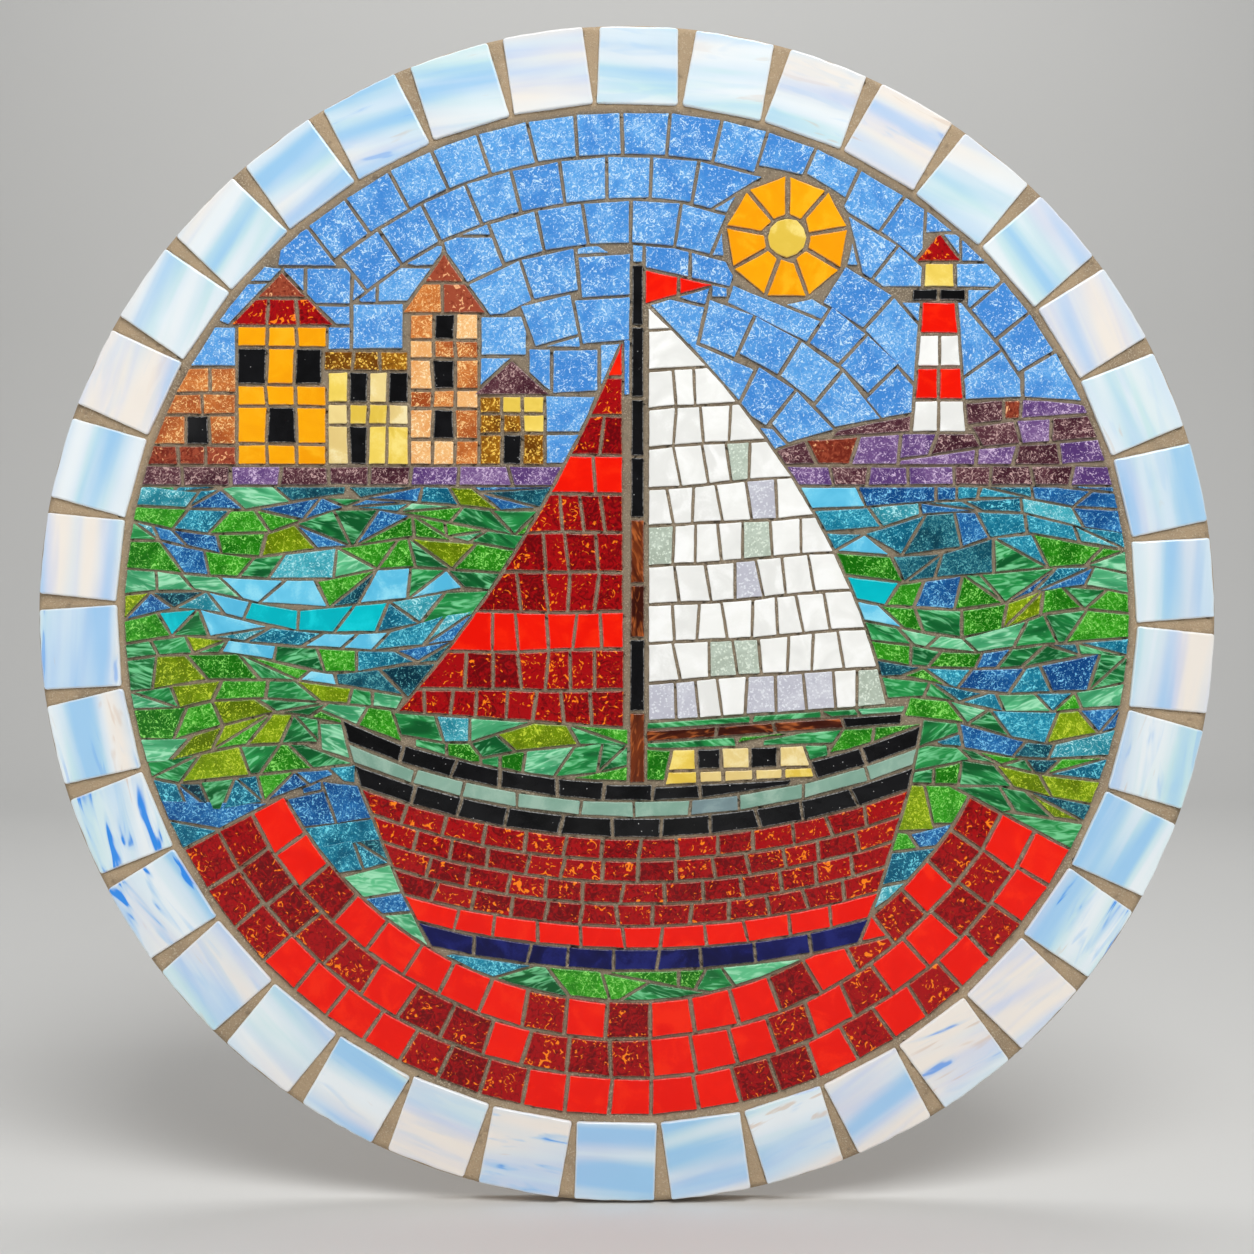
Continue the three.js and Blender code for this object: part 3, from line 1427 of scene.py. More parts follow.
@dataclass(frozen=True)
class Water:
    """Drifting shards of green and blue, with a pale path under the sun and a pale pool at the left."""

    high: float
    course: Point = (8.8, 13.6)
    swell: float = 5.0
    path: float = 88.0
    path_width: float = 26.0
    path_end: float = -45.0
    pool: Point = (-150.0, 5.0)
    pool_size: Point = (40.0, 20.0)
    far: float = 27.0
    green: float = 0.65
    scatter: float = 1.1

    def pick(self, rng: random.Random, spot: Spot) -> Glass:
        """Chooses blue or green by the drift, and pale blue where the light falls.

        Args:
            rng: The source of random draws.
            spot: Where the piece lies.

        Returns:
            The glass.
        """
        across, up = spot.middle
        off_path = (across - self.path) / self.path_width
        path = 0.75 * math.exp(-(off_path**2)) if up > self.path_end else 0.0
        beside, above = (across - self.pool[0]) / self.pool_size[0], (up - self.pool[1]) / self.pool_size[1]
        if rng.random() < path + 0.7 * math.exp(-(beside**2) - above**2):
            return mixed(LIGHT_BLUE=3, TURQUOISE=1)(rng, spot)
        drift = math.sin(across / 52 + 1.4 * math.sin(up / 24) + 0.6)
        swirl = drift + 0.9 * math.sin(up / 15.5 + across / 130)
        level = 0.0 if up > self.high - self.far else -self.green
        if swirl + rng.uniform(-self.scatter, self.scatter) > level:
            return mixed(EMERALD=5, LEAF=4, LIME=1.3, PALE_GREEN=1)(rng, spot)
        return mixed(TEAL=4, BLUE=4, AQUA=1.2, DEEP_SEA=2)(rng, spot)

    def motifs(self) -> list[Motif]:
        """Lays out the water.

        Returns:
            Its motif.
        """
        rng = random.Random(SEED)
        courses = [0.0]
        while courses[-1] < self.high + FIELD_RADIUS + self.swell:
            courses.append(courses[-1] + rng.uniform(*self.course))
        shape = rectangle(-FIELD_RADIUS, -FIELD_RADIUS, FIELD_RADIUS, self.high)
        guide = LineGuide((0.0, -FIELD_RADIUS), swell=self.swell)
        water = Motif(
            "water", shape, guide, ACROSS, courses, (11.0, 28.0), joint=1.0, pick=self.pick, lean=6.5,
            waver=1.9, split=0.3, patch=(123.0, 62.0), least=15.0,
        )
        return [water]


@dataclass(frozen=True)
class Quay:
    """Red squares in rings along the bottom."""

    inner: float = 189.0
    half_angle: float = 62.0
    courses: int = 3
    reach: float = 1.3

    def motifs(self) -> list[Motif]:
        """Lays out the quay.

        Returns:
            Its motif.
        """
        inner = below(CENTRE, self.inner, -self.half_angle, self.half_angle, 40)
        outer = below(CENTRE, FIELD_RADIUS + 2, self.half_angle, -self.half_angle, 40)
        rings = list(np.linspace(self.inner, FIELD_RADIUS, self.courses + 1))
        middle = (self.inner + FIELD_RADIUS) / 2
        span = (-middle * self.reach, middle * self.reach)
        quay = Motif(
            "quay", Shape(inner + outer), RingGuide(CENTRE, middle), span, rings, (18.8, 21.8), joint=1.3,
            pick=mixed(VERMILION=1, RED=1.1), lean=0.8, waver=0.35, patch=(123.0, 250.0),
        )
        return [quay]


@dataclass(frozen=True)
class Strake:
    """One band of the hull: its name, its width, its courses, its pieces' lengths, joints and glass."""

    name: str
    width: float
    courses: int
    lengths: Point
    joint: float
    pick: Picker


@dataclass(frozen=True)
class Sail:
    """A sail: its corners, the point that bows its free side, and the tilt of its courses."""

    name: str
    tack: Point
    head: Point
    clew: Point
    belly: Point
    tilt: float
    pick: Picker
    course: float = 19.0
    courses: int = 13
    span: Point = (-12.0, 140.0)

    def motif(self) -> Motif:
        """Lays out the sail.

        Returns:
            Its motif.
        """
        shape = Shape([self.tack, *bow(self.clew, self.belly, self.head, 14)])
        corner = (min(self.tack[0], self.clew[0]), min(self.tack[1], self.clew[1]))
        courses = [self.course * count for count in range(-1, self.courses - 1)]
        return Motif(
            self.name, shape, LineGuide(corner, self.tilt), self.span, courses, (10.5, 15.5), joint=1.0,
            pick=self.pick, lean=1.4, waver=0.5,
        )


def canvas(rng: random.Random, spot: Spot) -> Glass:
    """Chooses white, with some lavender along the sail's edges and some sage in two courses.

    Args:
        rng: The source of random draws.
        spot: Where the piece lies.

    Returns:
        The glass.
    """
    lavender = 2.0 if spot.turn >= spot.last - 1 or spot.course < 2 else 0.4
    sage = 1.6 if spot.course in (2, 5) else 0.3
    return mixed(WHITE=8, LAVENDER=lavender, SAGE=sage)(rng, spot)


def tanned(rng: random.Random, spot: Spot) -> Glass:
    """Chooses dark red, and bright red in every fourth course."""
    return Glass.VERMILION if spot.course % 4 == 3 else Glass.RED


@dataclass(frozen=True)
class Boat:
    """A small sailing boat: a hull of bands, a cabin, two sails, and spars."""

    centre: Point = (5.0, 272.0)
    sheer: float = 354.0
    depth: float = 92.0
    bow_angles: Point = (-24.0, -13.0)
    stern_angles: Point = (23.0, 14.0)
    mast: float = 5.0
    mast_foot: float = -83.0
    mast_head: float = 170.0
    strakes: Sequence[Strake] = (
        Strake("gunwale", 9.5, 1, (22.0, 30.0), 0.9, mixed(Glass.BLACK)),
        Strake("stripe", 8.0, 1, (22.0, 32.0), 0.9, mixed(FROST=2, SLATE=1)),
        Strake("rubbing_strake", 10.0, 1, (20.0, 30.0), 0.9, mixed(Glass.BLACK)),
        Strake("planks", 43.0, 4, (17.0, 20.5), 1.1, mixed(Glass.RED)),
        Strake("boot_top", 11.0, 1, (18.0, 22.0), 0.9, mixed(Glass.VERMILION)),
        Strake("waterline", 10.5, 1, (18.0, 27.0), 0.9, mixed(Glass.NAVY)),
    )
    sails: Sequence[Sail] = (
        Sail("mainsail", (10.0, -53.0), (10.0, 150.0), (127.0, -45.0), (104.0, 62.0), 0.068, canvas),
        Sail("jib", (-1.0, -56.0), (-2.0, 134.0), (-112.0, -48.0), (-44.0, 30.0), 0.0, tanned),
    )

    def hull(self) -> list[Motif]:
        """Lays out the hull.

        Returns:
            Its bands from the lowest up.
        """
        motifs = []
        radius = self.sheer
        for strake in self.strakes:
            inner, outer = radius, radius + strake.width
            shares = [(edge - self.sheer) / self.depth for edge in (inner, outer)]
            left, low_left = np.interp(shares, (0, 1), self.bow_angles)
            right, low_right = np.interp(shares, (0, 1), self.stern_angles)
            outline = below(self.centre, inner, left, right) + below(self.centre, outer, low_right, low_left)
            rings = list(np.linspace(inner, outer, strake.courses + 1))
            span = (-0.5 * inner, 0.5 * inner)
            motif = Motif(
                strake.name, Shape(outline), RingGuide(self.centre, inner), span, rings, strake.lengths,
                strake.joint, strake.pick, lean=0.9, waver=0.15,
            )
            motifs.append(motif)
            radius = outer
        return motifs[::-1]

    def cabin(self) -> Motif:
        """Lays out the cabin, with dark windows along it.

        Returns:
            Its motif.
        """
        shape = Shape([(18.0, -84.0), (92.0, -80.0), (86.0, -64.0), (22.0, -66.0)])
        guide = LineGuide((16.0, -86.0), 0.03)
        courses = [0.0, 9.0, 22.0]
        return Motif("cabin", shape, guide, (0.0, 82.0), courses, (12.0, 15.0), joint=1.2, pick=self.panes)

    def panes(self, rng: random.Random, spot: Spot) -> Glass:
        """Chooses black for every other piece along the cabin's upper course, and creams elsewhere."""
        creams = mixed(Glass.PALE_CREAM, Glass.CREAM, Glass.PEACH)
        return Glass.BLACK if spot.course == 1 and spot.turn % 2 else creams(rng, spot)

    def spars(self) -> list[Motif]:
        """Lays out what the sails hang from.

        Returns:
            The boom, the mast and the pennant.
        """
        wood = mixed(BROWN=3, BLACK=4)
        side, foot, head = self.mast, self.mast_foot, self.mast_head
        mast = [(side - 4.2, foot), (side + 4.2, foot), (side + 3.4, head), (side - 2.8, head)]
        boom = [(side + 3, -63.0), (134.0, -54.0), (134.0, -48.5), (side + 3, -57.0)]
        pennant = [(side + 3.3, head - 2), (side + 3.3, head - 20), (side + 39, head - 10)]
        along_boom = LineGuide(boom[0], 0.071)
        up_mast = LineGuide((side - 4, foot), QUARTER_TURN)
        out_pennant = LineGuide((side + 3, head - 20))
        return [
            Motif("boom", Shape(boom), along_boom, (-2.0, 130.0), [-1.0, 6.8], (24.0, 34.0), 0.9, wood, 1.0),
            Motif("mast", Shape(mast), up_mast, (0.0, head - foot), [-9.0, 2.0], (26.0, 38.0), 1.0, wood),
            Motif(
                "pennant", Shape(pennant), out_pennant, (0.0, 40.0), [0.0, 20.0], (17.0, 19.0), 1.1,
                mixed(Glass.VERMILION),
            ),
        ]

    def motifs(self) -> list[Motif]:
        """Gives the hull, the cabin, the sails and the spars."""
        return [*self.hull(), self.cabin(), *(sail.motif() for sail in self.sails), *self.spars()]


def town() -> list[House]:
    """Gives the houses on the left shore.

    Returns:
        The houses, the leftmost first.
    """
    foot = HORIZON - 1
    ochre = mixed(Glass.ORANGE)
    brick = mixed(COPPER=2, BRICK=1)
    cream = mixed(Glass.CREAM, Glass.PALE_CREAM)
    peach = mixed(PEACH=3, COPPER=1)
    gold = mixed(GOLD=2, CREAM=1)
    parapet = mixed(Glass.GOLD)
    tiles = mixed(Glass.BRICK, Glass.RED)
    slates = mixed(Glass.PURPLE, Glass.AUBERGINE)
    clay = mixed(COPPER=1, BRICK=2)
    return [
        House("house_1", (-242, -190), (foot, 120), (11, 15, 10, 13), 4, ((1, 1), (1, 3), (3, 2)), brick),
        House(
            "house_2", (-190, -146), (foot, 140), (10, 16, 9, 16, 9), 3, ((1, 1), (3, 0), (3, 2)), ochre,
            27.0, tiles,
        ),
        House("house_3", (-146, -106), (foot, 118), (18, 9, 14), 4, ((0, 1), (2, 1), (2, 3)), cream),
        House("house_3", (-148, -106), (118, 128), (1,), 3, (), parapet),
        House(
            "house_4", (-106, -72), (foot, 146), (13, 14, 9, 14, 9, 12), 3, ((1, 1), (3, 1), (5, 1)), peach,
            30.0, clay,
        ),
        House("house_5", (-72, -40), (foot, 106), (17, 10, 9), 3, ((0, 1),), gold, 18.0, slates),
    ]


Subject = Sky | Sun | Headland | Lighthouse | House | Shore | Water | Quay | Boat


class Picture:
    """The whole picture, as motifs that lie over one another."""

    def __init__(self, subjects: Sequence[Subject]) -> None:
        """Takes the subjects, the lowest first."""
        self.motifs = [motif for subject in subjects for motif in subject.motifs()]

    def lay(self) -> None:
        """Lays every motif's glass round the motifs over it."""
        for place, motif in enumerate(self.motifs):
            motif.lay([other.shape for other in self.motifs[place + 1 :]], SEED + place)

    def groups(self) -> dict[str, list[Tessera]]:
        """Gathers the glass into named pieces.

        Returns:
            The tesserae of each piece.
        """
        cells: dict[tuple, list[Tessera]] = {}
        for motif in self.motifs:
            for tessera in motif.tesserae:
                cell = np.floor((tessera.outline.mean(0) + FIELD_RADIUS) / motif.patch) if motif.patch else ()
                cells.setdefault((motif.name, *cell), []).append(tessera)
        numbers: dict[str, int] = {}
        found = {}
        for name, *cell in sorted(cells):
            numbers[name] = numbers.get(name, 0) + 1
            found[f"{name}_patch_{numbers[name]:02d}" if cell else name] = cells[(name, *cell)]
        return found


# Meshes


def new_piece(name: str, points: np.ndarray, faces: Sequence[Sequence[int]], attributes: Mapping) -> Piece:
    """Makes a smooth mesh object.

    Args:
        name: The object's name.
        points: Its points in millimetres.
        faces: Its faces.
        attributes: Values for each point by name, as numbers or vectors.

    Returns:
        The object, linked to the scene.
    """
    mesh = bpy.data.meshes.new(name)
    mesh.from_pydata((points * MM).tolist(), [], faces)
    mesh.shade_smooth()
    for attribute, values in attributes.items():
        vector = np.ndim(values) == 2
        layer = mesh.attributes.new(attribute, "FLOAT_VECTOR" if vector else "FLOAT", "POINT")
        layer.data.foreach_set("vector" if vector else "value", np.asarray(values, np.float32).ravel())
    piece = bpy.data.objects.new(name, mesh)
    bpy.context.scene.collection.objects.link(piece)
    return piece


def stand(plan: np.ndarray, heights: np.ndarray | float) -> np.ndarray:
    """Stands points of the picture's plane up, at their heights from the wall."""
    return np.stack([plan[:, 0], -np.broadcast_to(heights, len(plan)), plan[:, 1]], 1)


def rings_joined(start: int, ring: int, rings: int) -> list[list[int]]:
    """Joins rings of points, each with the next, by four-sided faces.

    Args:
        start: The number of the first point.
        ring: How many points a ring has.
        rings: How many rings there are.

    Returns:
        The faces.
    """
    here = np.arange(ring)
    after = np.roll(here, -1)
    faces: list[list[int]] = []
    for low in range(start, start + (rings - 1) * ring, ring):
        faces += np.stack([low + here, low + after, low + ring + after, low + ring + here], 1).tolist()
    return faces


def circle(sides: int) -> np.ndarray:
    """Gives points round a circle of radius one."""
    turns = np.linspace(0, FULL_TURN, sides, endpoint=False)
    return np.stack([np.cos(turns), np.sin(turns)], 1)


def outward(rim: Outline) -> np.ndarray:
    """Gives the outward direction at each point of a counter-clockwise outline."""
    run = np.roll(rim, -1, 0) - np.roll(rim, 1, 0)
    return np.stack([run[:, 1], -run[:, 0]], 1) / (np.hypot(*run.T)[:, None] + TINY)


# How glass edges vary: the most that a corner slips and is rounded, and the waves along a side
MOST_SLIP = 0.2
MOST_ROUNDING = 0.3
ROUNDING_SPREAD = (0.6, 1.4)
CORNER_ROOM = 0.55
SIDE_WAVES = (0.9, 1.7, 3.9)

# The waves in a glass face, how far its walls lean in at the foot, the paler wear and painted highlight
# there, and how large sheets are
FACE_WAVES = (3.7, 4.3)
FOOT_SETBACK = 0.5
FOOT_WEAR_AND_HIGHLIGHT = 0.4
SHEET_SIZE = 900.0


@dataclass(frozen=True)
class GlassWork:
    """How glass is cut and worn, in millimetres.

    Its face may tilt, lift and wave, its sides waver, and its corners slip. The shrink gives the sizes of
    the inner rings of points in its face.
    """

    foot: float
    crown: float
    arris: float
    rounding: float
    slip: float
    waver: float
    step: float
    tilt: float
    wave: float
    lift: float
    shrink: Sequence[float]

    def rim(self, outline: Outline, rng: random.Random) -> tuple[Outline, np.ndarray]:
        """Gives a piece's real edge, with uneven corners and sides.

        Args:
            outline: The corners that were marked out.
            rng: The source of random draws.

        Returns:
            The edge's points, counter-clockwise, and how wide the arris may be at each.
        """
        middle = outline.mean(0)
        away = outline - middle
        reach = np.hypot(*away.T)[:, None] + TINY
        slips = np.array([[rng.uniform(0, self.slip)] for _ in outline])
        corners = outline - away / reach * np.minimum(slips, MOST_SLIP * reach)
        points: list[np.ndarray] = []
        rooms: list[float] = []
        loose: list[float] = []
        for before, here, after in zip(np.roll(corners, 1, 0), corners, np.roll(corners, -1, 0)):
            back, ahead = before - here, after - here
            back_length, ahead_length = math.hypot(*back), math.hypot(*ahead)
            most = MOST_ROUNDING * min(back_length, ahead_length)
            trim = min(self.rounding * rng.uniform(*ROUNDING_SPREAD), most)
            first, second = here + back / back_length * trim, here + ahead / ahead_length * trim
            points += [first, (first + second + 2 * here) / 4, second]
            cosine = back @ ahead / (back_length * ahead_length)
            room = CORNER_ROOM * trim * math.sqrt((1 - cosine) / max(1 + cosine, TINY))
            rooms += [min(self.arris, room)] * 3
            loose += [0.0] * 3
            steps = int((ahead_length - 2 * trim) / self.step)
            points += [second + (after - second) * step / (steps + 1) for step in range(1, steps)]
            rooms += [self.arris] * max(0, steps - 1)
            loose += [1.0] * max(0, steps - 1)
        rim = np.array(points)
        along = np.cumsum(np.hypot(*(rim - np.roll(rim, 1, 0)).T))
        waves = [np.sin(along / length + rng.uniform(0, FULL_TURN)) for length in SIDE_WAVES]
        shift = self.waver * (sum(waves) / len(waves) + 1) * np.array(loose)
        return rim - outward(rim) * shift[:, None], np.array(rooms)[:, None]


FIELD_WORK = GlassWork(
    FIELD_FOOT, FIELD_CROWN, arris=0.5, rounding=0.6, slip=0.5, waver=0.1, step=2.2, tilt=0.014, wave=0.07,
    lift=0.22, shrink=(0.62,),
)
BORDER_WORK = GlassWork(
    BORDER_FOOT, BORDER_CROWN, arris=1.0, rounding=1.3, slip=0.5, waver=0.08, step=2.4, tilt=0.003, wave=0.1,
    lift=0.15, shrink=(0.8, 0.55, 0.28),
)

# The worn edge from the wall of a piece to its face: shares of the arris inwards and down, and the share of
# paler edge colour, for wear and a painted highlight
ARRIS_PROFILE = ((0.0, 2.2, 0.9), (0.0, 1.2, 1.0), (0.14, 0.5, 1.0), (0.46, 0.12, 0.7), (1.0, 0.0, 0.0))


class GlassPiece:
    """Cut glass that makes up one piece of the panel."""

    def __init__(self, name: str, work: GlassWork, rng: random.Random) -> None:
        """Starts an empty piece.

        Args:
            name: The piece's name.
            work: How its glass is cut.
            rng: The source of random draws.
        """
        self.name = name
        self.work = work
        self.rng = rng
        self.points: list[np.ndarray] = []
        self.faces: list[list[int]] = []
        self.face_finish: list[int] = []
        self.finishes: list[Material] = []
        self.values: dict[str, list[np.ndarray]] = {"sheet": [], "lot": [], "edge": [], "bold": []}
        self.brinks: list[np.ndarray] = []
        self.count = 0

    def add(self, outline: Outline, finish: Material, grain: float, bold: float) -> Outline:
        """Adds one cut of glass.

        Args:
            outline: Its corners.
            finish: Its material.
            grain: The direction of its sheet's streaks.
            bold: How strong its streaks are.

        Returns:
            Its real edge.
        """
        work, rng = self.work, self.rng
        rim, room = work.rim(outline, rng)
        middle = rim.mean(0)
        out = outward(rim)
        crown = work.crown + rng.uniform(-work.lift, work.lift)
        plans = [rim - out * room * FOOT_SETBACK]
        drops = [crown - work.foot]
        wear_and_highlight = [FOOT_WEAR_AND_HIGHLIGHT]
        for inwards, down, worn_and_highlit in ARRIS_PROFILE:
            plans.append(rim - out * room * inwards)
            drops.append(work.arris * down)
            wear_and_highlight.append(worn_and_highlit)
        brink = plans[-1]
        for size in work.shrink:
            plans.append(middle + (brink - middle) * size)
            drops.append(0.0)
            wear_and_highlight.append(0.0)
        plan = np.concatenate([*plans, middle[None]])
        drop = np.concatenate([np.repeat(drops, len(rim)), [0.0]])
        slope = np.array([rng.uniform(-work.tilt, work.tilt) for _ in range(2)])
        phase = rng.uniform(0, FULL_TURN), rng.uniform(0, FULL_TURN)
        wave = work.wave * np.sin(plan / FACE_WAVES + phase).prod(1)
        face = crown + (plan - middle) @ slope + wave
        height = np.where(np.arange(len(plan)) < len(rim), work.foot, face - drop)
        self.join(stand(plan, height), len(rim), len(plans), finish)
        turn = np.array([[math.cos(grain), math.sin(grain)], [-math.sin(grain), math.cos(grain)]])
        offset = np.array([rng.uniform(0, SHEET_SIZE) for _ in range(3)])
        sheet = np.concatenate([(plan - middle) @ turn.T, (height - crown)[:, None]], 1)
        self.values["sheet"].append(sheet + offset)
        self.values["lot"].append(np.full(len(plan), rng.random()))
        # Share of paler edge colour: chipped wear and a painted arris highlight.
        self.values["edge"].append(np.concatenate([np.repeat(wear_and_highlight, len(rim)), [0.0]]))
        self.values["bold"].append(np.full(len(plan), bold))
        return rim

    def join(self, points: np.ndarray, ring: int, rings: int, finish: Material) -> None:
        """Adds the closed mesh of one cut of glass.

        Args:
            points: Its rings of points from the foot up, and the middle of its face.
            ring: How many points a ring has.
            rings: How many rings there are.
            finish: Its material.
        """
        here = np.arange(ring)
        last = self.count + (rings - 1) * ring
        faces = [(here[::-1] + self.count).tolist(), *rings_joined(self.count, ring, rings)]
        faces += np.stack([last + here, last + np.roll(here, -1), np.full(ring, last + ring)], 1).tolist()
        if finish not in self.finishes:
            self.finishes.append(finish)
        self.points.append(points)
        self.brinks.append(self.count + len(ARRIS_PROFILE) * ring + here)
        self.faces += faces
        self.face_finish += [self.finishes.index(finish)] * len(faces)
        self.count += len(points)

    def build(self, slot: str) -> Piece:
        """Makes the piece's object.

        Args:
            slot: Not used.

        Returns:
            The object, riding on the panel.
        """
        attributes = {name: np.concatenate(values) for name, values in self.values.items()}
        piece = new_piece(self.name, np.concatenate(self.points), self.faces, attributes)
        for finish in self.finishes:
            piece.data.materials.append(finish)
        piece.data.polygons.foreach_set("material_index", self.face_finish)
        on_brink = np.zeros(self.count, bool)
        on_brink[np.concatenate(self.brinks)] = True
        ends = np.empty(2 * len(piece.data.edges), np.int32)
        piece.data.edges.foreach_get("vertices", ends)
        crisp = on_brink[ends].reshape(-1, 2).all(1)
        piece.data.attributes.new("sharp_edge", "BOOLEAN", "EDGE").data.foreach_set("value", crisp)
        return settle(piece)


def settle(piece: Piece) -> Piece:
    """Fixes a piece to the panel and reports it.

    Args:
        piece: The piece's object.

    Returns:
        The same object.
    """
    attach(piece, BODY)
    log.info("%s: %d faces", piece.name, len(piece.data.polygons))
    return piece


# The panel


@dataclass(frozen=True)
class Field:
    """The picture's glass."""

    picture: Picture
    work: GlassWork = FIELD_WORK
    twist: float = 0.5

    def build(self) -> list[Outline]:
        """Lays and cuts the picture.

        Returns:
            The edges of all its pieces of glass.
        """
        self.picture.lay()
        finishes = {glass: GlassFinish(*glass.value).build(f"{glass.name.lower()}_glass") for glass in Glass}
        rng = random.Random(SEED)
        rims = []
        for name, tesserae in self.picture.groups().items():
            piece = GlassPiece(name, self.work, rng)
            for tessera in tesserae:
                grain = tessera.grain + rng.uniform(-self.twist, self.twist)
                rims.append(piece.add(tessera.outline, finishes[tessera.glass], grain, 0.0))
            piece.build("field_glass")
        return rims


@dataclass(frozen=True)
class Border:
    """The ring of opal tiles round the rim."""

    count: int = 38
    first_joint: float = 91.2
    width: float = 39.8
    depth: float = 38.9
    setback: float = 0.8
    outer_steps: int = 8
    rim_slip: float = 0.5
    depth_slip: float = 0.6
    side_lean: Point = (-0.45, 0.25)
    inner_skew: Point = (-0.2, 0.3)
    twist: float = 0.2
    bold_top: float = 0.35
    bold_foot: float = 0.65
    work: GlassWork = BORDER_WORK
    finish: OpalFinish = OpalFinish()

    def outline(self, turn: float, rng: random.Random) -> Outline:
        """Gives one tile's corners, a little off square as cut by hand.

        Args:
            turn: Its angle clockwise from the top.
            rng: The source of random draws.

        Returns:
            The corners, with the bowed outer side.
        """
        half = self.width / 2
        outer = PANEL_RADIUS - self.setback - rng.uniform(0, self.rim_slip)
        inner = outer - self.depth + rng.uniform(0, self.depth_slip)
        lean = [rng.uniform(*self.side_lean) for _ in range(4)]
        across = np.linspace(half + lean[2], -half - lean[3], self.outer_steps + 1)
        outer_side = np.stack([across, np.sqrt(outer**2 - across**2)], 1)
        inner_side = [(-half - lean[0], inner + rng.uniform(*self.inner_skew)), (half + lean[1], inner)]
        local = np.concatenate([inner_side, outer_side])
        cosine, sine = math.cos(turn), math.sin(turn)
        return local @ np.array([[cosine, -sine], [sine, cosine]])

    def build(self) -> list[Outline]:
        """Cuts the tiles.

        Returns:
            The tiles' edges.
        """
        rng = random.Random(SEED + 1)
        finish = self.finish.build()
        rims = []
        for index in range(self.count):
            turn = math.radians(self.first_joint) + (index + 0.5) * FULL_TURN / self.count
            bold = rng.random() ** 2 * (self.bold_top - self.bold_foot * min(0.0, math.cos(turn)))
            grain = -turn + rng.uniform(-self.twist, self.twist)
            tile = GlassPiece(f"opal_tile_{index + 1:02d}", self.work, rng)
            rims.append(tile.add(self.outline(turn, rng), finish, grain, bold))
            piece = tile.build("opal_glass")
            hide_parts(f"border_tile_{index + 1:02d}")
        return rims


def ripples(points: np.ndarray, lengths: Point, seed: int, count: int = 14) -> np.ndarray:
    """Gives an uneven surface made of crossing waves.

    Args:
        points: Where to read it.
        lengths: The shortest and longest wave.
        seed: What its random draws start from.
        count: How many waves it has.

    Returns:
        Its heights, mostly within -1 and 1.
    """
    rng = random.Random(seed)
    total = np.zeros(len(points))
    for _ in range(count):
        turn, length = rng.uniform(0, FULL_TURN), rng.uniform(*lengths)
        direction = np.array([math.cos(turn), math.sin(turn)]) * FULL_TURN / length
        total += np.sin(points @ direction + rng.uniform(0, FULL_TURN))
    return total / math.sqrt(count)


# How close two points of the grout may lie
MERGE_DISTANCE = 1e-6


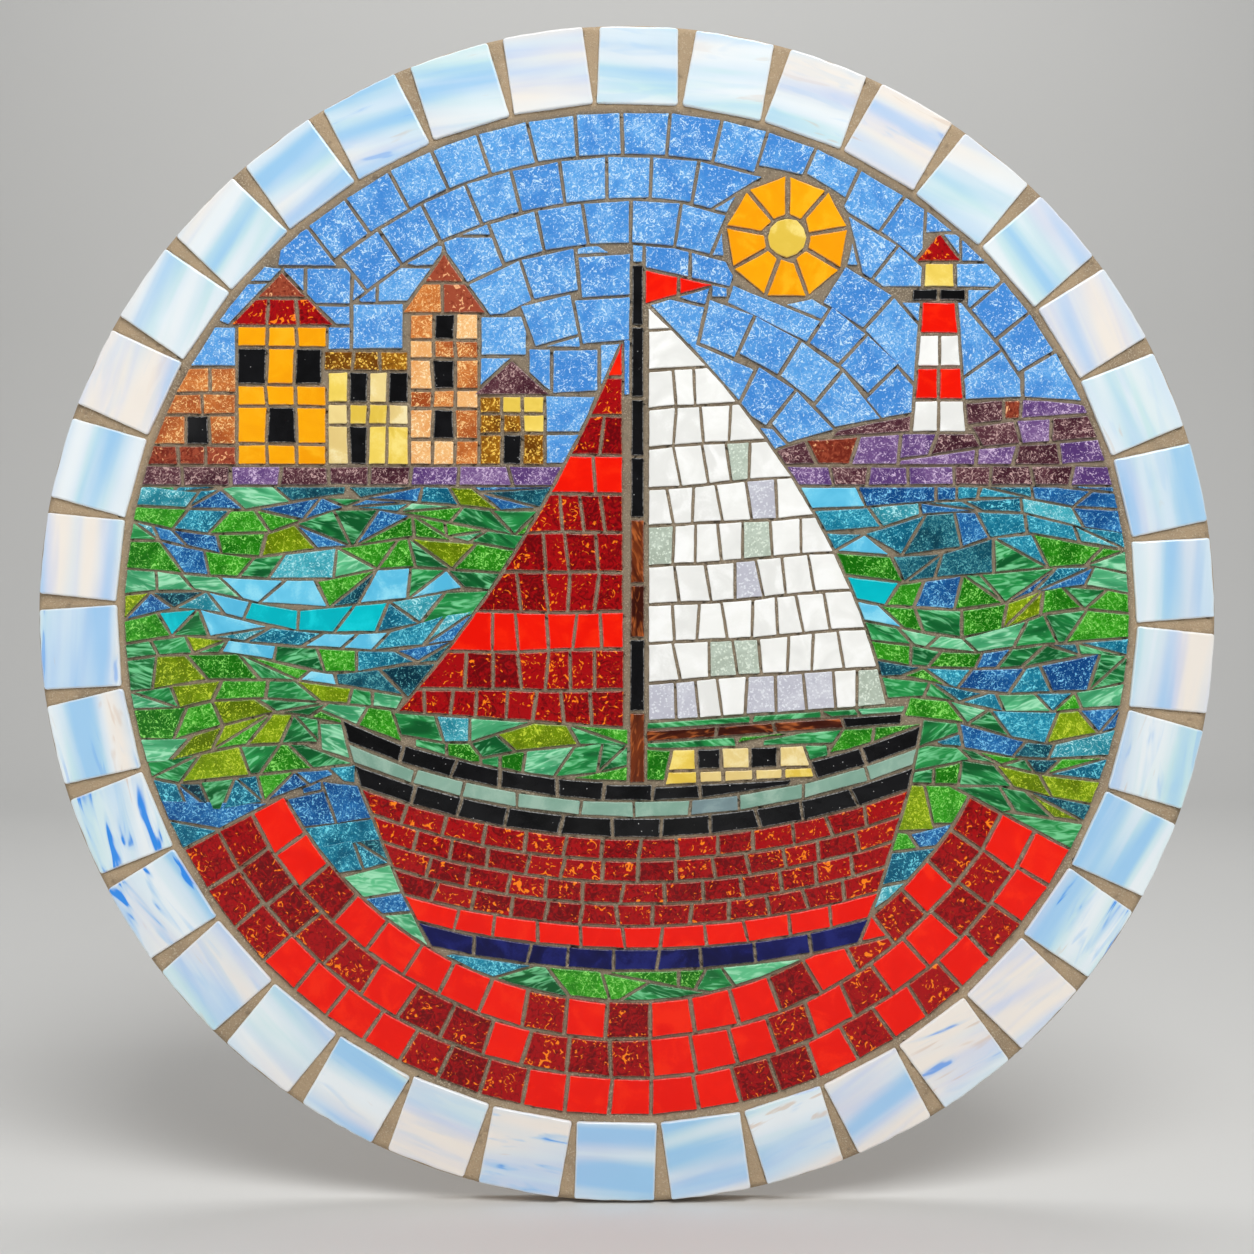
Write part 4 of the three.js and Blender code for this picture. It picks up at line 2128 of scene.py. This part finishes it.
@dataclass(frozen=True)
class GroutBed:
    """The grout and adhesive, modelled round the edge of every piece of glass.

    Its surface meets each glass edge a little way under it, at the contact, and drops to the adhesive in
    the pocket. Between pieces it follows a scattered grid of points, some of which are pits.
    """

    contact: float = 0.35
    pocket: float = 1.0
    adhesive: float = 0.9
    grid: float = 1.55
    jitter: float = 0.35
    clearance: float = 0.45
    rim_clearance: float = 1.2
    rough: float = 0.2
    long_waves: Point = (16, 60)
    short_waves: Point = (3.5, 9)
    short_share: float = 0.6
    ramp: float = 2.0
    corner_room: float = 0.7
    tint_start: float = FIELD_RADIUS - 1
    tint_width: float = 4.0
    pit_share: float = 0.015
    pit_depth: float = 0.8
    pit_shade: float = 0.4
    rim_points: int = 840
    rim_profile: Sequence[Point] = ((0.0, 10.5), (0.15, 11.6), (0.45, 12.9))
    rim_slope: float = 2.6
    rim_slack: float = 0.4
    finish: GroutFinish = GroutFinish()

    def level(self, points: np.ndarray) -> np.ndarray:
        """Gives the grout's height in the joints, higher in the border than in the picture.

        Args:
            points: Where to read it.

        Returns:
            The heights.
        """
        share = np.clip((np.hypot(*points.T) - FIELD_RADIUS) / self.ramp, 0, 1)
        flat = FIELD_GROUT_LEVEL + (BORDER_GROUT_LEVEL - FIELD_GROUT_LEVEL) * share
        long_waves = ripples(points, self.long_waves, SEED)
        short_waves = ripples(points, self.short_waves, SEED + 1)
        return flat + self.rough * (long_waves + self.short_share * short_waves)

    def under(self, rim: Outline, inwards: float) -> np.ndarray:
        """Gives points under a glass edge, leaving out those that a narrow corner has no room for."""
        points = rim - outward(rim) * inwards
        return points[Shape(rim).depth(points)[0] > self.corner_room * inwards]

    def joints(self, rims: Sequence[Outline]) -> np.ndarray:
        """Scatters points over the joints between pieces of glass.

        Args:
            rims: The edges of all the glass.

        Returns:
            The points that lie clear of glass.
        """
        side = np.arange(-PANEL_RADIUS, PANEL_RADIUS, self.grid)
        points = np.stack(np.meshgrid(side, side), -1).reshape(-1, 2)
        generator = np.random.default_rng(SEED)
        points += generator.uniform(-self.jitter, self.jitter, points.shape) * self.grid
        points = points[np.hypot(*points.T) < PANEL_RADIUS - self.rim_clearance]
        free = np.ones(len(points), bool)
        for rim in rims:
            low, high = rim.min(0) - self.clearance, rim.max(0) + self.clearance
            close = np.flatnonzero(free & ((points > low) & (points < high)).all(1))
            if close.size:
                free[close] = Shape(rim).depth(points[close])[0] < -self.clearance
        return points[free]

    def build(self, rims: Sequence[Outline]) -> Piece:
        """Makes the bed.

        Args:
            rims: The edges of all the glass.

        Returns:
            The bed's object.
        """
        contacts = np.concatenate([self.under(rim, self.contact) for rim in rims])
        pockets = np.concatenate([self.under(rim, self.pocket)[::2] for rim in rims])
        joints = self.joints(rims)
        generator = np.random.default_rng(SEED + 2)
        pitted = generator.random(len(joints)) < self.pit_share
        joint_heights = self.level(joints) - pitted * self.pit_depth * generator.random(len(joints))
        around = circle(self.rim_points)
        edges = [around * (PANEL_RADIUS - inside) for inside, _ in self.rim_profile]
        edge_heights = [np.full(len(around), height) for _, height in self.rim_profile]
        plan = np.concatenate([*edges, contacts, pockets, joints])
        radius = np.hypot(*plan.T)
        floor = np.full(len(pockets), BOARD_FACE + self.adhesive)
        heights = np.concatenate([*edge_heights, self.level(contacts), floor, joint_heights])
        brim = self.rim_profile[-1][1]
        inside = np.clip((PANEL_RADIUS - radius) / self.rim_slope, 0, 1)
        heights = np.minimum(heights, brim + (BORDER_GROUT_LEVEL - brim) * inside + self.rim_slack * inside)
        pit = np.zeros(len(plan))
        pit[-len(joints) :] = pitted * self.pit_shade
        flat = [Vector(point) for point in plan]
        corners, _, triangles, _, _, _ = delaunay_2d_cdt(flat, [], [], 0, MERGE_DISTANCE, False)
        points = stand(np.array([tuple(corner) for corner in corners]), heights)
        ring = np.arange(self.rim_points)
        after = np.roll(ring, -1)
        base = stand(edges[0], np.full(len(ring), BOARD_FACE))
        faces = [list(triangle) for triangle in triangles]
        faces += np.stack([len(points) + ring, len(points) + after, after, ring], 1).tolist()
        faces.append((len(points) + ring[::-1]).tolist())
        rim_share = np.clip((radius - self.tint_start) / self.tint_width, 0, 1)
        pad = np.zeros(len(ring))
        attributes = {"rim": np.concatenate([rim_share, pad + 1]), "pit": np.concatenate([pit, pad])}
        piece = new_piece("grout", np.concatenate([points, base]), faces, attributes)
        piece.data.materials.append(self.finish.build())
        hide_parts("grout_bed")
        return settle(piece)


@dataclass(frozen=True)
class Board:
    """The round board that carries the mosaic."""

    radius: float = PANEL_RADIUS
    thickness: float = BOARD_FACE
    arris: float = 0.9
    arris_steps: int = 4
    chamfer: Point = (0.2, 0.3)
    middle: float = 0.7
    segments: int = 360
    finish: BoardFinish = BoardFinish()

    def profile(self) -> list[Point]:
        """Draws half a cut through the board.

        Returns:
            The radius and height of its rings, from the back round the rim to the front.
        """
        middle = self.middle * self.radius
        profile = [(middle, 0.0), (self.radius - self.arris, 0.0)]
        for step in range(1, self.arris_steps + 1):
            turn = QUARTER_TURN * step / self.arris_steps
            inwards, up = self.arris * (1 - math.sin(turn)), self.arris * (1 - math.cos(turn))
            profile.append((self.radius - inwards, up))
        width, depth = self.chamfer
        edge = [(self.radius, self.thickness - depth), (self.radius - width, self.thickness)]
        return [*profile, *edge, (middle, self.thickness)]

    def build(self) -> Piece:
        """Turns the board.

        Returns:
            The board's object.
        """
        profile = self.profile()
        around = circle(self.segments)
        points = np.concatenate([stand(around * radius, height) for radius, height in profile])
        ring = np.arange(self.segments)
        faces = [ring[::-1].tolist(), *rings_joined(0, self.segments, len(profile))]
        faces.append(((len(profile) - 1) * self.segments + ring).tolist())
        rim = np.repeat([1.0 if height > self.arris / 4 else 0.0 for _, height in profile], self.segments)
        piece = new_piece("board", points, faces, {"rim": rim})
        piece.data.materials.append(self.finish.build())
        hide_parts("backing_board")
        return settle(piece)


# The studio


@dataclass(frozen=True)
class Studio:
    """The camera, the light, and a pale floor that sweeps up behind the panel.

    What is measured on the photograph is in pixels from its top left. Lengths are in millimetres, and powers
    in watts.
    """

    photo_side: float = 1254.0
    panel_centre: Point = (626.9, 613.4)
    panel_edge: float = 590.5
    distance: float = 950.0
    sensor: float = 36.0
    floor: float = -287.2
    sweep: float = 3000.0
    bend: float = 900.0
    bend_steps: int = 12
    stage_reach: Point3 = (5000.0, -4000.0, 4000.0)
    key_power: float = 44.0
    fill_power: float = 8.0
    backdrop_power: float = 42.0
    sky_tint: Colour = (0.95, 0.97, 1.0)
    sky_strength: float = 0.17

    def camera(self) -> None:
        """Sets the camera square to the panel, framed as the photograph is."""
        pixel = PANEL_RADIUS / self.panel_edge
        half_frame = self.photo_side / 2 * pixel
        data = bpy.data.cameras.new("camera")
        data.sensor_width = self.sensor
        data.lens = self.sensor / 2 * (self.distance - BORDER_CROWN) / half_frame
        camera = bpy.data.objects.new("camera", data)
        across = (self.photo_side / 2 - self.panel_centre[0]) * pixel
        up = (self.panel_centre[1] - self.photo_side / 2) * pixel
        camera.location = (across * MM, -self.distance * MM, up * MM)
        camera.rotation_euler = (math.pi / 2, 0.0, 0.0)
        bpy.context.scene.collection.objects.link(camera)
        bpy.context.scene.camera = camera

    def light(self, name: str, place: Point3, target: Point3, size: float, power: float) -> None:
        """Adds a soft light.

        Args:
            name: Its name.
            place: Where it hangs, in metres.
            target: What it faces.
            size: Its side, in metres.
            power: Its power in watts.
        """
        data = bpy.data.lights.new(name, "AREA")
        data.size = size
        data.energy = power
        lamp = bpy.data.objects.new(name, data)
        lamp.location = place
        lamp.rotation_euler = (Vector(target) - Vector(place)).to_track_quat("-Z", "Y").to_euler()
        bpy.context.scene.collection.objects.link(lamp)

    def stage(self) -> None:
        """Makes the floor and the sweep behind the panel."""
        side, front, top = self.stage_reach
        line = [(front, self.floor), (self.sweep - self.bend, self.floor)]
        for step in range(1, self.bend_steps + 1):
            turn = QUARTER_TURN * step / self.bend_steps
            back = self.sweep - self.bend * (1 - math.sin(turn))
            line.append((back, self.floor + self.bend * (1 - math.cos(turn))))
        line.append((self.sweep, top))
        points = np.array([(across, back, up) for back, up in line for across in (-side, side)])
        faces = [(2 * step, 2 * step + 1, 2 * step + 3, 2 * step + 2) for step in range(len(line) - 1)]
        floor = new_piece("floor", points, faces, {})
        tree = Tree("studio_paper")
        place = tree.place()
        colour = tree.mix(tree.noise(place, 0.8), paint(206, 206, 204), paint(216, 215, 212))
        floor.data.materials.append(tree.finish(colour, 0.9, tree.noise(place, 400.0), 0.05))

    def build(self) -> None:
        """Sets up the camera, the light and the floor."""
        self.camera()
        self.light("key", (0.35, -1.5, 1.6), ORIGIN, 1.2, self.key_power)
        self.light("fill", (-1.3, -1.4, -0.1), ORIGIN, 1.6, self.fill_power)
        self.light("backdrop", (0.0, 0.9, 2.6), (0.0, 3.0, 0.2), 2.0, self.backdrop_power)
        self.stage()
        scene = bpy.context.scene
        scene.view_settings.view_transform = "Standard"
        world = scene.world or bpy.data.worlds.new("world")
        scene.world = world
        world.use_nodes = True
        background = world.node_tree.nodes["Background"]
        background.inputs["Color"].default_value = (*self.sky_tint, 1.0)
        background.inputs["Strength"].default_value = self.sky_strength


def main() -> None:
    """Sets up the studio, builds the panel and notes the sizes."""
    logging.basicConfig(level=logging.INFO, format="%(message)s")
    shore = HORIZON - SHORE_DEPTH
    subjects = [
        Sky(HORIZON), Sun(), Headland(HORIZON - 2), Lighthouse(), *town(), Shore(shore, HORIZON),
        Water(shore), Quay(), Boat(),
    ]
    Studio().build()
    Board().build()
    rims = Field(Picture(subjects)).build()
    rims += Border().build()
    GroutBed().build(rims)


if __name__ == "__main__":
    main()
